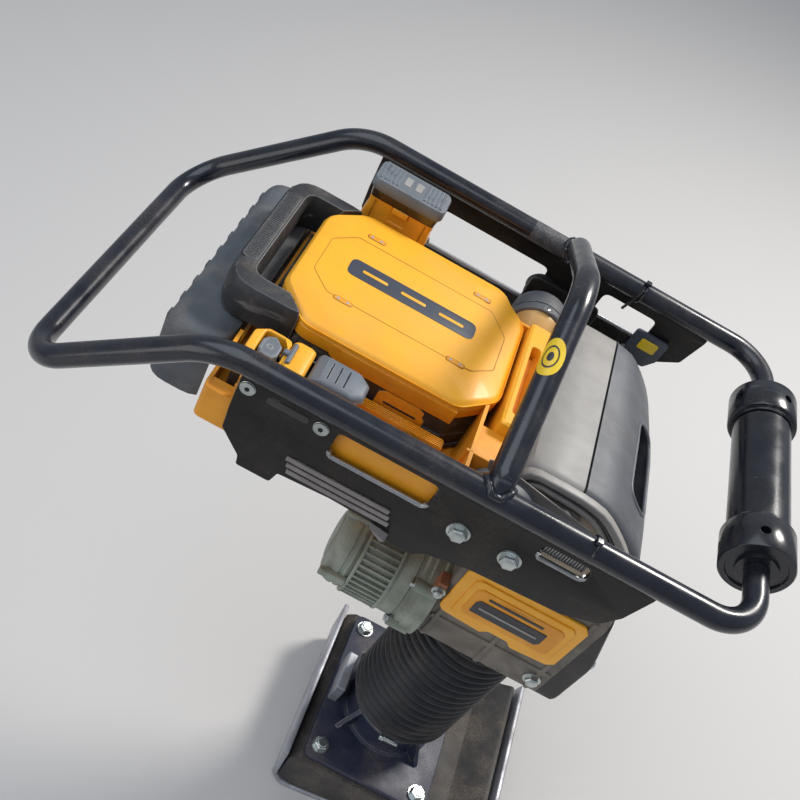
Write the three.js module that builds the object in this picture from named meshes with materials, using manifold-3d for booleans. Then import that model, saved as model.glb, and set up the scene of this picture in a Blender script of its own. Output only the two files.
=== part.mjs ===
import * as THREE from "three";
import { mergeVertices } from "three/addons/utils/BufferGeometryUtils.js";
import Module from "manifold-3d";

// Battery trench rammer. Millimetres, +Z up, +X towards the front roller, floor at Z = 0.
// The upright machine is drawn square to its leg and then leaned forward about the foot.
const lean = 10 * Math.PI / 180;
const legX = 440;
const floorDrop = 860;

const tubeRadius = 12.7;
const railY = 213;
const frontX = 562;
const armReach = 177;
const armDrop = 165;
const plateThickness = 5;

const wasm = await Module();
wasm.setup();

const machine = new THREE.Group();
machine.name = "rammer";

const finishes = {
  blackSteel: [0x1d1e22, 0.42, 0.6],
  yellow: [0xf2a516, 0.45, 0.0],
  darkPlastic: [0x24262a, 0.6, 0.0],
  greyPlastic: [0x55585c, 0.6, 0.0],
  lightGrey: [0xb2b2b6, 0.5, 0.0],
  fasciaGrey: [0x8c919b, 0.55, 0.0],
  castAlloy: [0x78827a, 0.5, 0.7],
  castTaupe: [0x50483f, 0.7, 0.3],
  zinc: [0xbfc4c6, 0.35, 0.9],
  steel: [0x9a9da0, 0.35, 0.9],
  paleSteel: [0xa5a6ab, 0.45, 0.7],
  rubber: [0x17181a, 0.85, 0.0],
  blueBlack: [0x23283a, 0.5, 0.4],
  cell: [0x3a6a8c, 0.5, 0.1],
  copper: [0xb87333, 0.4, 0.8],
};

function add(name, geometry, finish, leaned = true) {
  const [color, roughness, metalness] = finishes[finish];
  const placed = geometry.clone();
  if (leaned) {
    placed.translate(-legX, 0, floorDrop);
    placed.rotateY(lean);
  }
  const mesh = new THREE.Mesh(placed, new THREE.MeshStandardMaterial({ color, roughness, metalness }));
  mesh.name = name;
  machine.add(mesh);
  return mesh;
}

// Solids -------------------------------------------------------------

function toSolid(geometry) {
  const bare = new THREE.BufferGeometry();
  bare.setAttribute("position", geometry.getAttribute("position").clone());
  if (geometry.index) {
    bare.setIndex(geometry.index.clone());
  }
  const welded = mergeVertices(bare, 1e-4);
  const vertProperties = new Float32Array(welded.getAttribute("position").array);
  const triVerts = new Uint32Array(welded.index.array);
  return new wasm.Manifold(new wasm.Mesh({ numProp: 3, vertProperties, triVerts }));
}

function toGeometry(solid) {
  const mesh = solid.getMesh();
  const geometry = new THREE.BufferGeometry();
  geometry.setAttribute("position", new THREE.BufferAttribute(new Float32Array(mesh.vertProperties), 3));
  geometry.setIndex(new THREE.BufferAttribute(new Uint32Array(mesh.triVerts), 1));
  geometry.computeVertexNormals();
  return geometry;
}

function cut(base, ...tools) {
  let solid = toSolid(base);
  for (const tool of tools) {
    solid = solid.subtract(toSolid(tool));
  }
  return toGeometry(solid);
}

function join(base, ...others) {
  let solid = toSolid(base);
  for (const other of others) {
    solid = solid.add(toSolid(other));
  }
  return toGeometry(solid);
}

function block(xLow, xHigh, yLow, yHigh, zLow, zHigh) {
  const geometry = new THREE.BoxGeometry(xHigh - xLow, yHigh - yLow, zHigh - zLow);
  geometry.translate((xLow + xHigh) / 2, (yLow + yHigh) / 2, (zLow + zHigh) / 2);
  return geometry;
}

function roundCornered(xLow, xHigh, yLow, yHigh, corner, steps = 3) {
  const shape = new THREE.Shape();
  shape.moveTo(xLow + corner, yLow);
  shape.lineTo(xHigh - corner, yLow);
  shape.absarc(xHigh - corner, yLow + corner, corner, -Math.PI / 2, 0, false);
  shape.lineTo(xHigh, yHigh - corner);
  shape.absarc(xHigh - corner, yHigh - corner, corner, 0, Math.PI / 2, false);
  shape.lineTo(xLow + corner, yHigh);
  shape.absarc(xLow + corner, yHigh - corner, corner, Math.PI / 2, Math.PI, false);
  shape.lineTo(xLow, yLow + corner);
  shape.absarc(xLow + corner, yLow + corner, corner, Math.PI, 1.5 * Math.PI, false);
  return shape;
}

function polygon(points) {
  const shape = new THREE.Shape();
  shape.moveTo(points[0][0], points[0][1]);
  for (const [a, b] of points.slice(1)) {
    shape.lineTo(a, b);
  }
  return shape;
}

// Extrudes a shape drawn in X and Y upwards.
function upwards(shape, zLow, zHigh, bevel = 0, segments = 4) {
  const options = {
    depth: zHigh - zLow - 2 * bevel,
    bevelEnabled: bevel > 0,
    bevelSize: bevel,
    bevelThickness: bevel,
    bevelOffset: -bevel,
    bevelSegments: 1,
    curveSegments: segments,
  };
  const geometry = new THREE.ExtrudeGeometry(shape, options);
  geometry.translate(0, 0, zLow + bevel);
  return geometry;
}

// Extrudes a shape drawn in X and Z across the machine.
function across(shape, yLow, yHigh, bevel = 0, segments = 4) {
  const geometry = upwards(shape, -yHigh, -yLow, bevel, segments);
  geometry.rotateX(Math.PI / 2);
  return geometry;
}

// Extrudes a shape drawn in Y and Z along the machine.
function lengthways(shape, xLow, xHigh, bevel = 0, segments = 4) {
  const geometry = upwards(shape, xLow, xHigh, bevel, segments);
  const turn = new THREE.Matrix4().makeBasis(
    new THREE.Vector3(0, 1, 0), new THREE.Vector3(0, 0, 1), new THREE.Vector3(1, 0, 0));
  geometry.applyMatrix4(turn);
  return geometry;
}

// Turns a closed radius-and-height profile about an upright axis.
function turned(profile, x, y, segments = 32) {
  const points = profile.map(([r, z]) => new THREE.Vector2(r, z));
  points.push(points[0].clone());
  const geometry = new THREE.LatheGeometry(points, segments);
  geometry.rotateX(Math.PI / 2);
  geometry.translate(x, y, 0);
  return geometry;
}

function rod(axis, radius, low, high, a, b, segments = 24) {
  const geometry = new THREE.CylinderGeometry(radius, radius, high - low, segments);
  geometry.translate(0, (low + high) / 2, 0);
  if (axis === "z") {
    geometry.rotateX(Math.PI / 2);
    geometry.translate(a, b, 0);
  } else if (axis === "x") {
    geometry.rotateZ(-Math.PI / 2);
    geometry.translate(0, a, b);
  } else {
    geometry.translate(a, 0, b);
  }
  return geometry;
}

function sleeve(axis, outer, inner, low, high, a, b, segments = 32) {
  const profile = [[inner, low], [outer, low], [outer, high], [inner, high]];
  const geometry = turned(profile, 0, 0, segments);
  if (axis === "x") {
    geometry.rotateY(Math.PI / 2);
    geometry.translate(0, a, b);
  } else if (axis === "y") {
    geometry.rotateX(-Math.PI / 2);
    geometry.translate(a, 0, b);
  } else {
    geometry.translate(a, b, 0);
  }
  return geometry;
}

// Corner points become a path with a smooth bend of the given radius at each.
function bentPath(corners, closed, steps = 6) {
  const count = corners.length;
  const path = [];
  for (let i = 0; i < count; i += 1) {
    const here = new THREE.Vector3(...corners[i].at);
    const ends = !closed && (i === 0 || i === count - 1);
    if (ends) {
      path.push(here);
      continue;
    }
    const before = new THREE.Vector3(...corners[(i + count - 1) % count].at).sub(here).normalize();
    const after = new THREE.Vector3(...corners[(i + 1) % count].at).sub(here).normalize();
    const half = before.angleTo(after) / 2;
    const reach = corners[i].bend / Math.tan(half);
    const middle = before.clone().add(after).normalize().multiplyScalar(corners[i].bend / Math.sin(half));
    const centre = here.clone().add(middle);
    const start = here.clone().addScaledVector(before, reach).sub(centre);
    const end = here.clone().addScaledVector(after, reach).sub(centre);
    const sweep = Math.PI - 2 * half;
    for (let k = 0; k <= steps; k += 1) {
      const t = k / steps;
      const a = Math.sin((1 - t) * sweep) / Math.sin(sweep);
      const b = Math.sin(t * sweep) / Math.sin(sweep);
      path.push(centre.clone().addScaledVector(start, a).addScaledVector(end, b));
    }
  }
  return path;
}

// A round bar following a path of points, capped unless the path is closed.
function barAlong(path, radius, closed, sides = 16) {
  const count = path.length;
  const tangents = path.map((point, i) => {
    const next = closed ? path[(i + 1) % count] : path[Math.min(i + 1, count - 1)];
    const last = closed ? path[(i + count - 1) % count] : path[Math.max(i - 1, 0)];
    return next.clone().sub(last).normalize();
  });
  const flatten = (vector, tangent) => vector.clone().addScaledVector(tangent, -vector.dot(tangent)).normalize();
  const normals = [flatten(new THREE.Vector3(0.3, 0.5, 0.8), tangents[0])];
  for (let i = 1; i < count; i += 1) {
    normals.push(flatten(normals[i - 1], tangents[i]));
  }
  let twist = 0;
  if (closed) {
    const arrived = flatten(normals[count - 1], tangents[0]);
    const side = tangents[0].clone().cross(normals[0]);
    twist = Math.atan2(arrived.dot(side), arrived.dot(normals[0]));
  }
  const positions = [];
  const indices = [];
  for (let i = 0; i < count; i += 1) {
    const side = tangents[i].clone().cross(normals[i]);
    for (let k = 0; k < sides; k += 1) {
      const angle = 2 * Math.PI * k / sides - twist * i / count;
      const point = path[i].clone();
      point.addScaledVector(normals[i], radius * Math.cos(angle));
      point.addScaledVector(side, radius * Math.sin(angle));
      positions.push(point.x, point.y, point.z);
    }
  }
  const rings = closed ? count : count - 1;
  for (let i = 0; i < rings; i += 1) {
    const next = ((i + 1) % count) * sides;
    for (let k = 0; k < sides; k += 1) {
      const a = i * sides + k;
      const b = i * sides + (k + 1) % sides;
      indices.push(a, b, next + k, b, next + (k + 1) % sides, next + k);
    }
  }
  if (!closed) {
    for (const end of [0, count - 1]) {
      positions.push(path[end].x, path[end].y, path[end].z);
      const hub = positions.length / 3 - 1;
      for (let k = 0; k < sides; k += 1) {
        const a = end * sides + k;
        const b = end * sides + (k + 1) % sides;
        indices.push(...(end === 0 ? [hub, b, a] : [hub, a, b]));
      }
    }
  }
  const geometry = new THREE.BufferGeometry();
  geometry.setAttribute("position", new THREE.Float32BufferAttribute(positions, 3));
  geometry.setIndex(indices);
  geometry.computeVertexNormals();
  return geometry;
}

function coil(x, y, coilRadius, wireRadius, zLow, zHigh, turns) {
  const path = [];
  const steps = turns * 10;
  for (let i = 0; i <= steps; i += 1) {
    const angle = 2 * Math.PI * i / 10;
    const z = zLow + wireRadius + (zHigh - zLow - 2 * wireRadius) * i / steps;
    path.push(new THREE.Vector3(x + coilRadius * Math.cos(angle), y + coilRadius * Math.sin(angle), z));
  }
  return barAlong(path, wireRadius, false, 5);
}

// Frame --------------------------------------------------------------

function handleLoop() {
  const rear = [-armReach, -armDrop];
  const corners = [
    { at: [frontX, -railY, 0], bend: 48 },
    { at: [frontX, railY, 0], bend: 48 },
    { at: [0, railY, 0], bend: 90 },
    { at: [rear[0], 198, rear[1]], bend: 55 },
    { at: [rear[0], -198, rear[1]], bend: 55 },
    { at: [0, -railY, 0], bend: 90 },
  ];
  return barAlong(bentPath(corners, true, 5), tubeRadius, true, 16);
}

function liftingBar() {
  const corners = [
    { at: [281, -201, 16], bend: 0 },
    { at: [283, 8, 103], bend: 90 },
    { at: [283, 201, 16], bend: 0 },
  ];
  return barAlong(bentPath(corners, false, 6), 14, false, 16);
}

function sidePlate(sign) {
  const near = sign < 0;
  const frontEdge = near ? 467 : 490;
  const outline = [
    [30, -13.2], [31, -60], [33, -92], [58, -119], [60, -132], [97, -132], [101, -115], [157, -111],
    [202, -113], [229, -128], [254, -128], [266, -117], [311, -106], [411, -100], [447, -86],
    [frontEdge - 8, -62], [frontEdge, -20], [frontEdge, -13.2],
  ];
  const shape = polygon(outline);
  const openings = near
    ? [roundCornered(132, 238, -56, -22, 6), roundCornered(350, 402, -42, -22, 8)]
    : [roundCornered(125, 275, -92, -36, 8), roundCornered(350, 425, -60, -26, 8)];
  for (const opening of openings) {
    shape.holes.push(opening);
  }
  return across(shape, sign * railY - plateThickness / 2, sign * railY + plateThickness / 2);
}

function rollerCollar(sign) {
  return sleeve("y", 38, tubeRadius + 0.3, Math.min(sign * 81, sign * 131), Math.max(sign * 81, sign * 131),
    frontX, 0, 28);
}

function buildFrame() {
  add("handle_tube", handleLoop(), "blackSteel");
  add("lifting_bar", liftingBar(), "blackSteel");
  add("side_plate_near", sidePlate(-1), "blackSteel");
  add("side_plate_far", sidePlate(1), "blackSteel");
  add("roller_sleeve", sleeve("y", 32, tubeRadius + 0.4, -80, 80, frontX, 0, 28), "darkPlastic");
  add("roller_collar_near", rollerCollar(-1), "darkPlastic");
  add("roller_collar_far", rollerCollar(1), "darkPlastic");
}

// Battery bay --------------------------------------------------------

function batteryTray() {
  const outer = join(block(0, 258, -208, 158, -104, -26), block(250, 291, -150, 75, -104, -26));
  const inner = block(4, 254, -203, 153, -99, -20);
  const innerFront = block(250, 287, -146, 71, -99, -20);
  const step = block(-5, 28, -212, -118, -60, -20);
  const rear = block(-5, 28, -119, 200, -80, -20);
  const farSide = block(20, 300, 80, 200, -80, -20);
  const farFront = block(250, 300, 70, 200, -98.9, -20);
  const dock = block(270.5, 287.5, -104, 70, -100, -14);
  const recess = block(266, 277, -70, 44, -80, -30);
  return cut(join(cut(outer, inner, innerFront, step, rear, farSide, farFront), dock), recess);
}

function batteryCase() {
  const shell = upwards(octagon(14, 265, -104, 103, 36), -98.6, -45);
  const hollow = upwards(octagon(20, 259, -98, 97, 33), -92, -40);
  return cut(shell, hollow);
}

function octagon(xLow, xHigh, yLow, yHigh, corner) {
  return polygon([
    [xLow + corner, yLow], [xHigh - corner, yLow], [xHigh, yLow + corner], [xHigh, yHigh - corner],
    [xHigh - corner, yHigh], [xLow + corner, yHigh], [xLow, yHigh - corner], [xLow, yLow + corner],
  ]);
}

function batteryCover() {
  const rim = upwards(octagon(13, 266, -105, 104, 36), -44.7, -26);
  const top = upwards(octagon(15, 264, -103, 102, 36), -28, -16, 6);
  return join(rim, top);
}

function buildBattery() {
  add("battery_tray", batteryTray(), "yellow");
  add("battery_case", batteryCase(), "darkPlastic");
  add("battery_cells", block(42, 236, -80, 79, -91.6, -52), "cell");
  add("battery_cover", batteryCover(), "yellow");
  add("battery_handle", carryLoop(), "greyPlastic");
}

function carryLoop() {
  const outer = upwards(roundCornered(-40, 60, -106, 105, 30), -98.6, -18, 5, 3);
  const inner = upwards(roundCornered(-14, 80, -80, 79, 14), -120, 0, 0, 3);
  const pack = upwards(octagon(12.6, 290, -105.4, 104.4, 36.2), -120, 0);
  const below = block(-60, 80, -130, 130, -110, -58);
  return cut(outer, inner, pack, below);
}

// Controls -----------------------------------------------------------

function controlBlock() {
  const body = block(14, 102, -186, -122, -98.6, -30);
  const buttonWell = block(26, 52, -172, -138, -44, -20);
  const leverSlot = block(70, 110, -170, -128, -60, -20);
  const bore = rod("y", 3.3, -200, -110, 91, -35, 16);
  return cut(body, buttonWell, leverSlot, bore);
}

function latchLever() {
  const paddle = across(polygon([[82, -36], [92, -44], [100, -36], [140, -32], [140, -21], [84, -24]]), -169, -129);
  const bore = rod("y", 3.3, -190, -110, 91, -35, 16);
  return cut(paddle, bore);
}

function lockLever() {
  const body = across(roundCornered(40, 124, -46, 8, 8), 120, 152);
  const foot = across(roundCornered(52, 112, -66, -42, 6), 129, 145);
  const pad = upwards(roundCornered(37, 127, 117, 160, 8), 4, 20, 3, 3);
  const bore = rod("x", 4.3, 30, 140, 137, -58, 16);
  return cut(join(body, foot, pad), bore);
}

function lockStand() {
  const body = block(40, 124, 128, 146, -98.6, -50.6);
  const slot = block(49, 115, 118, 160, -74, -40);
  const bore = rod("x", 4.3, 30, 140, 137, -58, 16);
  return cut(body, slot, bore);
}

function buildControls() {
  add("control_block", controlBlock(), "yellow");
  add("power_button", block(27, 51, -171, -139, -40.5, -25), "greyPlastic");
  add("latch_lever", latchLever(), "greyPlastic");
  add("latch_pin", rod("y", 3, -176, -122, 91, -35, 16), "zinc");
  add("lock_stand", lockStand(), "darkPlastic");
  add("lock_lever", lockLever(), "yellow");
  add("lock_pin", rod("x", 4, 41, 123, 137, -58, 16), "zinc");
  add("cable_boot", turned([[0, -98.6], [20, -98.6], [20, -70], [15, -62], [15, -52], [10, -44], [0, -44]],
    204, -140, 20), "rubber");
}

// Shrouds ------------------------------------------------------------

function rearShroud() {
  const outer = upwards(roundCornered(-72, -3, -150, 150, 26), -150, -66, 10, 3);
  const inner = upwards(roundCornered(-67, 30, -145, 145, 22), -160, -72, 8, 3);
  return cut(outer, inner);
}

const cowlProfile = [
  [304, -112], [304, -36], [307, -22], [314, -13], [324, -10], [372, -10], [400, -15], [422, -28],
  [444, -46], [458, -63], [466, -85], [468, -114], [468, -126.5], [372, -126.5], [372, -112],
];

function frontHood() {
  const outer = across(polygon(cowlProfile), -140, 118);
  const keep = block(200, 371.6, -200, 200, -200, 50);
  const inner = across(polygon([
    [309, -140], [309, -37], [311.5, -25], [316.5, -18], [325, -15], [400, -15], [400, -140],
  ]), -134, 112);
  const dome = rod("z", 33, -140, 20, 283, 108, 24);
  return toGeometry(toSolid(outer).intersect(toSolid(keep)).subtract(toSolid(inner)).subtract(toSolid(dome)));
}

function hoodFascia() {
  const outer = across(polygon(cowlProfile), -140, 118);
  const keep = block(372, 500, -200, 200, -200, 50);
  const inner = across(polygon([
    [360, -15], [371, -15], [398, -20], [419, -32.5], [440, -49.5], [453.5, -65.5], [461, -86], [463, -119],
    [463, -140], [360, -140],
  ]), -134, 112);
  const vent = across(polygon([[410, -38], [449, -74], [474, -48], [435, -12]]), -88, 35);
  const plan = upwards(polygon([
    [300, -150], [470, -150], [469, -60], [462, 0], [453, 60], [438, 100], [415, 125], [300, 125],
  ]), -200, 50);
  const planInner = upwards(polygon([
    [300, -145], [465, -145], [464, -60], [457, 0], [448, 59], [433, 98], [412, 119], [300, 119],
  ]), -200, 50);
  const cavity = toSolid(inner).intersect(toSolid(planInner));
  return toGeometry(toSolid(outer).intersect(toSolid(keep)).intersect(toSolid(plan))
    .subtract(cavity).subtract(toSolid(vent)));
}

function buildShrouds() {
  add("rear_shroud", rearShroud(), "greyPlastic");
  add("front_hood", frontHood(), "lightGrey");
  add("hood_fascia", hoodFascia(), "fasciaGrey");
  add("fan_cover", turned([[0, -98], [30, -98], [30, -34], [26, -26], [16, -19], [0, -16]], 283, 108, 28), "greyPlastic");
}

// Mounting yoke ------------------------------------------------------

function mountYoke() {
  const beam = block(262, 352, -190, 190, -127.6, -113);
  const ears = [-1, 1].map((s) => block(259.5, 353, Math.min(s * 183, s * 190), Math.max(s * 183, s * 190), -127.6, -36));
  return join(beam, ...ears);
}

function buildMounts() {
  add("mount_yoke", mountYoke(), "blackSteel");
  let index = 1;
  for (const sign of [-1, 1]) {
    for (const x of [278, 334]) {
      const low = Math.min(sign * 190.4, sign * 210.1);
      const high = Math.max(sign * 190.4, sign * 210.1);
      add(`shock_mount_${index}`, rod("y", 19, low, high, x, -63, 24), "rubber");
      const face = sign * (railY + plateThickness / 2 + 0.3);
      const tip = sign * 226;
      add(`mount_bolt_${index}`, rod("y", 9.5, Math.min(face, tip), Math.max(face, tip), x, -63, 6), "zinc");
      index += 1;
    }
  }
}

// Power unit ---------------------------------------------------------

const crankZ = -245;
const motorY = -75;
const motorZ = -335;
const pinRadius = 24;
const gearTeeth = 42;
const pinionTeeth = 10;
const centres = Math.hypot(motorY, motorZ - crankZ);
const toothModule = 2 * centres / (gearTeeth + pinionTeeth);

function crankcaseBody() {
  const whole = lengthways(roundCornered(-118, 118, -385, -128, 22), 338, 515);
  const side = across(polygon([[330, -390], [515, -390], [515, -190], [480, -128], [480, -120], [330, -120]]), -130, 130);
  const outer = toGeometry(toSolid(whole).intersect(toSolid(side)));
  const room = lengthways(roundCornered(-110, 110, -377, -136, 16), 348, 530);
  const roomSide = across(polygon([[330, -390], [530, -390], [530, -233], [473, -132], [473, -120], [330, -120]]), -130, 130);
  const hollow = toGeometry(toSolid(room).intersect(toSolid(roomSide)));
  const guideHole = rod("z", 62, -400, -370, legX, 0, 24);
  const rotorHole = rod("x", 14, 330, 360, motorY, motorZ, 16);
  const boss = sleeve("x", 34, 22.4, 347, 372, 0, crankZ, 20);
  const neck = sleeve("z", 69.6, 62, -416, -384, legX, 0, 24);
  return toGeometry(toSolid(outer).subtract(toSolid(hollow)).subtract(toSolid(guideHole))
    .subtract(toSolid(rotorHole)).add(toSolid(boss)).add(toSolid(neck)));
}

function crankcaseCover() {
  const whole = lengthways(roundCornered(-118, 118, -385, -128, 22), 515.3, 541);
  const side = across(polygon([[515.3, -390], [541, -390], [541, -268], [518, -193], [515.3, -193]]), -130, 130);
  const rib = lengthways(roundCornered(-84, 84, -366, -282, 20), 540, 552, 4);
  return join(toGeometry(toSolid(whole).intersect(toSolid(side))), rib);
}

// One outline of straight-sided teeth about the origin.
function toothed(teeth, turn) {
  const pitch = toothModule * teeth / 2;
  const root = pitch - 1.2 * toothModule;
  const tip = pitch + 0.9 * toothModule;
  const points = [];
  for (let i = 0; i < teeth; i += 1) {
    const step = 2 * Math.PI / teeth;
    const middle = turn + i * step;
    for (const [radius, offset] of [[root, -0.30], [tip, -0.10], [tip, 0.10], [root, 0.30]]) {
      const angle = middle + offset * step;
      points.push([radius * Math.cos(angle), radius * Math.sin(angle)]);
    }
  }
  return polygon(points);
}

function crankGear() {
  const meshAngle = Math.atan2(motorZ - crankZ, motorY);
  const wheel = lengthways(toothed(gearTeeth, meshAngle), 390, 412);
  wheel.translate(0, 0, crankZ);
  const shaft = rod("x", 15, 350, 395, 0, crankZ, 20);
  const pin = rod("x", 11, 411, 454, 0, crankZ - pinRadius, 20);
  const pockets = [];
  for (let i = 0; i < 6; i += 1) {
    const angle = meshAngle + (i + 0.5) * Math.PI / 3;
    pockets.push(rod("x", 22, 380, 420, 60 * Math.cos(angle), crankZ + 60 * Math.sin(angle), 12));
  }
  let solid = toSolid(wheel);
  for (const pocket of pockets) {
    solid = solid.subtract(toSolid(pocket));
  }
  const web = sleeve("x", 36, 10, 390, 412, 0, crankZ, 16);
  return toGeometry(solid.add(toSolid(web)).add(toSolid(shaft)).add(toSolid(pin)));
}

function motorRotor() {
  const meshAngle = Math.atan2(crankZ - motorZ, -motorY);
  const pinion = lengthways(toothed(pinionTeeth, meshAngle + Math.PI / pinionTeeth), 386, 416);
  pinion.translate(0, motorY, motorZ);
  const shaft = rod("x", 9, 205, 390, motorY, motorZ, 20);
  const core = rod("x", 26, 240, 300, motorY, motorZ, 24);
  return join(pinion, shaft, core);
}

function connectingRod() {
  const lowZ = crankZ - pinRadius - 125;
  const big = rod("x", 20, 430, 450, 0, crankZ - pinRadius, 20);
  const small = rod("x", 14, 430, 450, 0, lowZ, 16);
  const beam = lengthways(polygon([[-9, lowZ + 5], [9, lowZ + 5], [12, crankZ - 34], [-12, crankZ - 34]]), 434, 446);
  const bore = rod("x", 11.3, 420, 460, 0, crankZ - pinRadius, 20);
  const eye = rod("x", 7, 420, 460, 0, lowZ, 12);
  return cut(join(big, small, beam), bore, eye);
}

function pistonAssembly() {
  const fork = block(424, 456, -16, 16, -484, -380);
  const slot = block(428, 452, -20, 20, -464, -370);
  const wristBore = rod("x", 7, 410, 470, 0, crankZ - pinRadius - 125, 12);
  const stem = rod("z", 15, -630, -483, legX, 0, 20);
  const disc = rod("z", 48.5, -634, -618, legX, 0, 24);
  return toGeometry(toSolid(fork).subtract(toSolid(slot)).subtract(toSolid(wristBore))
    .add(toSolid(stem)).add(toSolid(disc)));
}

function motorHousing() {
  const body = sleeve("x", 50, 44, 234, 326, motorY, motorZ, 24);
  const flange = sleeve("x", 60, 14, 324, 337.7, motorY, motorZ, 24);
  let solid = toSolid(body).add(toSolid(flange));
  for (let i = 0; i < 5; i += 1) {
    solid = solid.add(toSolid(sleeve("x", 57, 48, 240 + i * 10, 244 + i * 10, motorY, motorZ, 24)));
  }
  return toGeometry(solid);
}

function motorCap() {
  const profile = [
    [0, 198], [34, 198], [50, 204], [56, 212], [56, 228], [50, 233.7], [10, 233.7], [10, 202], [0, 202],
  ];
  const geometry = turned(profile, 0, 0, 28);
  geometry.rotateY(Math.PI / 2);
  geometry.translate(0, motorY, motorZ);
  return geometry;
}

function buildPowerUnit() {
  add("crankcase_body", crankcaseBody(), "castTaupe");
  add("crankcase_cover", crankcaseCover(), "castTaupe");
  add("badge_panel", across(roundCornered(344, 502, -312, -212, 10), -124, -118.3, 1.5), "yellow");
  add("oil_plug", rod("y", 11, -127, -118.3, 498, -350, 6), "zinc");
  add("crank_bearing", sleeve("x", 22, 15.3, 352, 372, 0, crankZ, 20), "steel");
  add("crank_gear", crankGear(), "steel");
  add("connecting_rod", connectingRod(), "steel");
  add("motor_housing", motorHousing(), "castAlloy");
  add("motor_cap", motorCap(), "castAlloy");
  add("motor_stator", sleeve("x", 43.6, 28, 244, 300, motorY, motorZ, 24), "copper");
  add("motor_rotor", motorRotor(), "steel");
}

// Leg ----------------------------------------------------------------

function bellows() {
  const top = -403;
  const bottom = -716;
  const folds = 8;
  const pitch = (top - bottom - 24) / folds;
  const outside = [[73, bottom]];
  const inside = [[70, bottom]];
  for (let i = 0; i < folds; i += 1) {
    const z = bottom + 12 + i * pitch;
    outside.push([73, z], [86, z + pitch / 2]);
    inside.push([70, z], [83, z + pitch / 2]);
  }
  outside.push([73, top - 12], [73, top]);
  inside.push([70, top - 12], [70, top]);
  return turned([...outside, ...inside.reverse()], legX, 0, 24);
}

function guideTube() {
  return turned([[57.5, -600], [61.5, -600], [61.5, -377], [57.5, -377]], legX, 0, 24);
}

function springTube() {
  const profile = [
    [0, -752], [57, -752], [57, -486], [50, -486], [50, -740], [0, -740],
  ];
  return turned(profile, legX, 0, 24);
}

function footFlange() {
  const plate = upwards(roundCornered(legX - 103, legX + 103, -132, 132, 14), -777, -765, 2, 3);
  const boss = turned([[0, -766], [69, -766], [69.6, -760], [69.6, -712], [57.4, -712], [57.4, -752.4], [0, -752.4]],
    legX, 0, 24);
  return join(plate, boss);
}

function shoeSole() {
  const profile = [
    [-88, 0], [160, 0], [190, 14], [214, 42], [226, 80], [218, 82], [206, 46], [184, 21], [158, 8.2],
    [-86, 8.2], [-102, 14], [-112, 30], [-104, 110], [-112, 111], [-120.5, 30], [-108, 7],
  ];
  return across(polygon(profile), -142, 142);
}

function shoeBody() {
  const wedge = (u) => -u * Math.tan(lean) + 82.6 / Math.cos(lean);
  const profile = [
    [-84, 8.5], [157, 8.5], [182, 22], [202, 46], [212, 76], [150, 60], [118, wedge(118)],
    [-88, wedge(-88)], [-103, wedge(-88) - 10], [-111, 31], [-101, 14.5],
  ];
  return across(polygon(profile), -140, 140);
}

function buildLeg() {
  add("guide_tube", guideTube(), "steel");
  add("bellows", bellows(), "rubber");
  add("bellows_clamp_upper", sleeve("z", 77, 73.4, -414, -404, legX, 0, 24), "zinc");
  add("bellows_clamp_lower", sleeve("z", 77, 73.4, -715, -705, legX, 0, 24), "zinc");
  add("piston", pistonAssembly(), "steel");
  add("spring_tube", springTube(), "steel");
  add("tube_ring", sleeve("z", 49.7, 15.6, -500, -488, legX, 0, 24), "steel");
  add("upper_spring", coil(legX, 0, 40, 5, -617.5, -500.5, 5), "steel");
  add("lower_spring", coil(legX, 0, 40, 5, -739.5, -634.5, 5), "steel");
  add("foot_flange", footFlange(), "blueBlack");
  add("shoe_body", shoeBody(), "darkPlastic", false);
  add("shoe_sole", shoeSole(), "paleSteel", false);
  let index = 1;
  for (const x of [-83, 83]) {
    for (const y of [-110, 110]) {
      add(`shoe_bolt_${index}`, rod("z", 12.5, -764.7, -751, legX + x, y, 6), "zinc");
      index += 1;
    }
  }
}

buildFrame();
buildBattery();
buildControls();
buildShrouds();
buildMounts();
buildPowerUnit();
buildLeg();

// The origin is on the floor under the middle of the machine.
const extent = new THREE.Box3();
for (const mesh of machine.children) {
  mesh.geometry.computeBoundingBox();
  extent.union(mesh.geometry.boundingBox);
}
for (const mesh of machine.children) {
  mesh.geometry.translate(-(extent.min.x + extent.max.x) / 2, -(extent.min.y + extent.max.y) / 2, -extent.min.z);
}

export default machine;
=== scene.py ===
import bpy
import bmesh
import math
from mathutils import Matrix, Vector


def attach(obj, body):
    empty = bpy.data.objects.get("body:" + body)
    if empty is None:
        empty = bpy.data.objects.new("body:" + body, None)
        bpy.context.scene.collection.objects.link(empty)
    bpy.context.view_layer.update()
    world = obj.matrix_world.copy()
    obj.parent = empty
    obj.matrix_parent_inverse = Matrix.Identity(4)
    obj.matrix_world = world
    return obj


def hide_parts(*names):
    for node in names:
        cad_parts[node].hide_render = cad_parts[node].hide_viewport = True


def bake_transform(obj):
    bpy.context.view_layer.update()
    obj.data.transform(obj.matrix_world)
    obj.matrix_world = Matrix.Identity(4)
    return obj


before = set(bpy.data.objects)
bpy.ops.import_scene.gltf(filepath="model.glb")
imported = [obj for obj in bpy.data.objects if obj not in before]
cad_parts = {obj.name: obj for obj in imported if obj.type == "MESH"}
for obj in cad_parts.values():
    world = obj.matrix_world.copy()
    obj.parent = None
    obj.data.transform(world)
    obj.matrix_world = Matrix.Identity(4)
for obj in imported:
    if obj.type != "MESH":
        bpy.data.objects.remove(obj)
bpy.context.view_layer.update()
print("stage: frame loaded")

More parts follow.
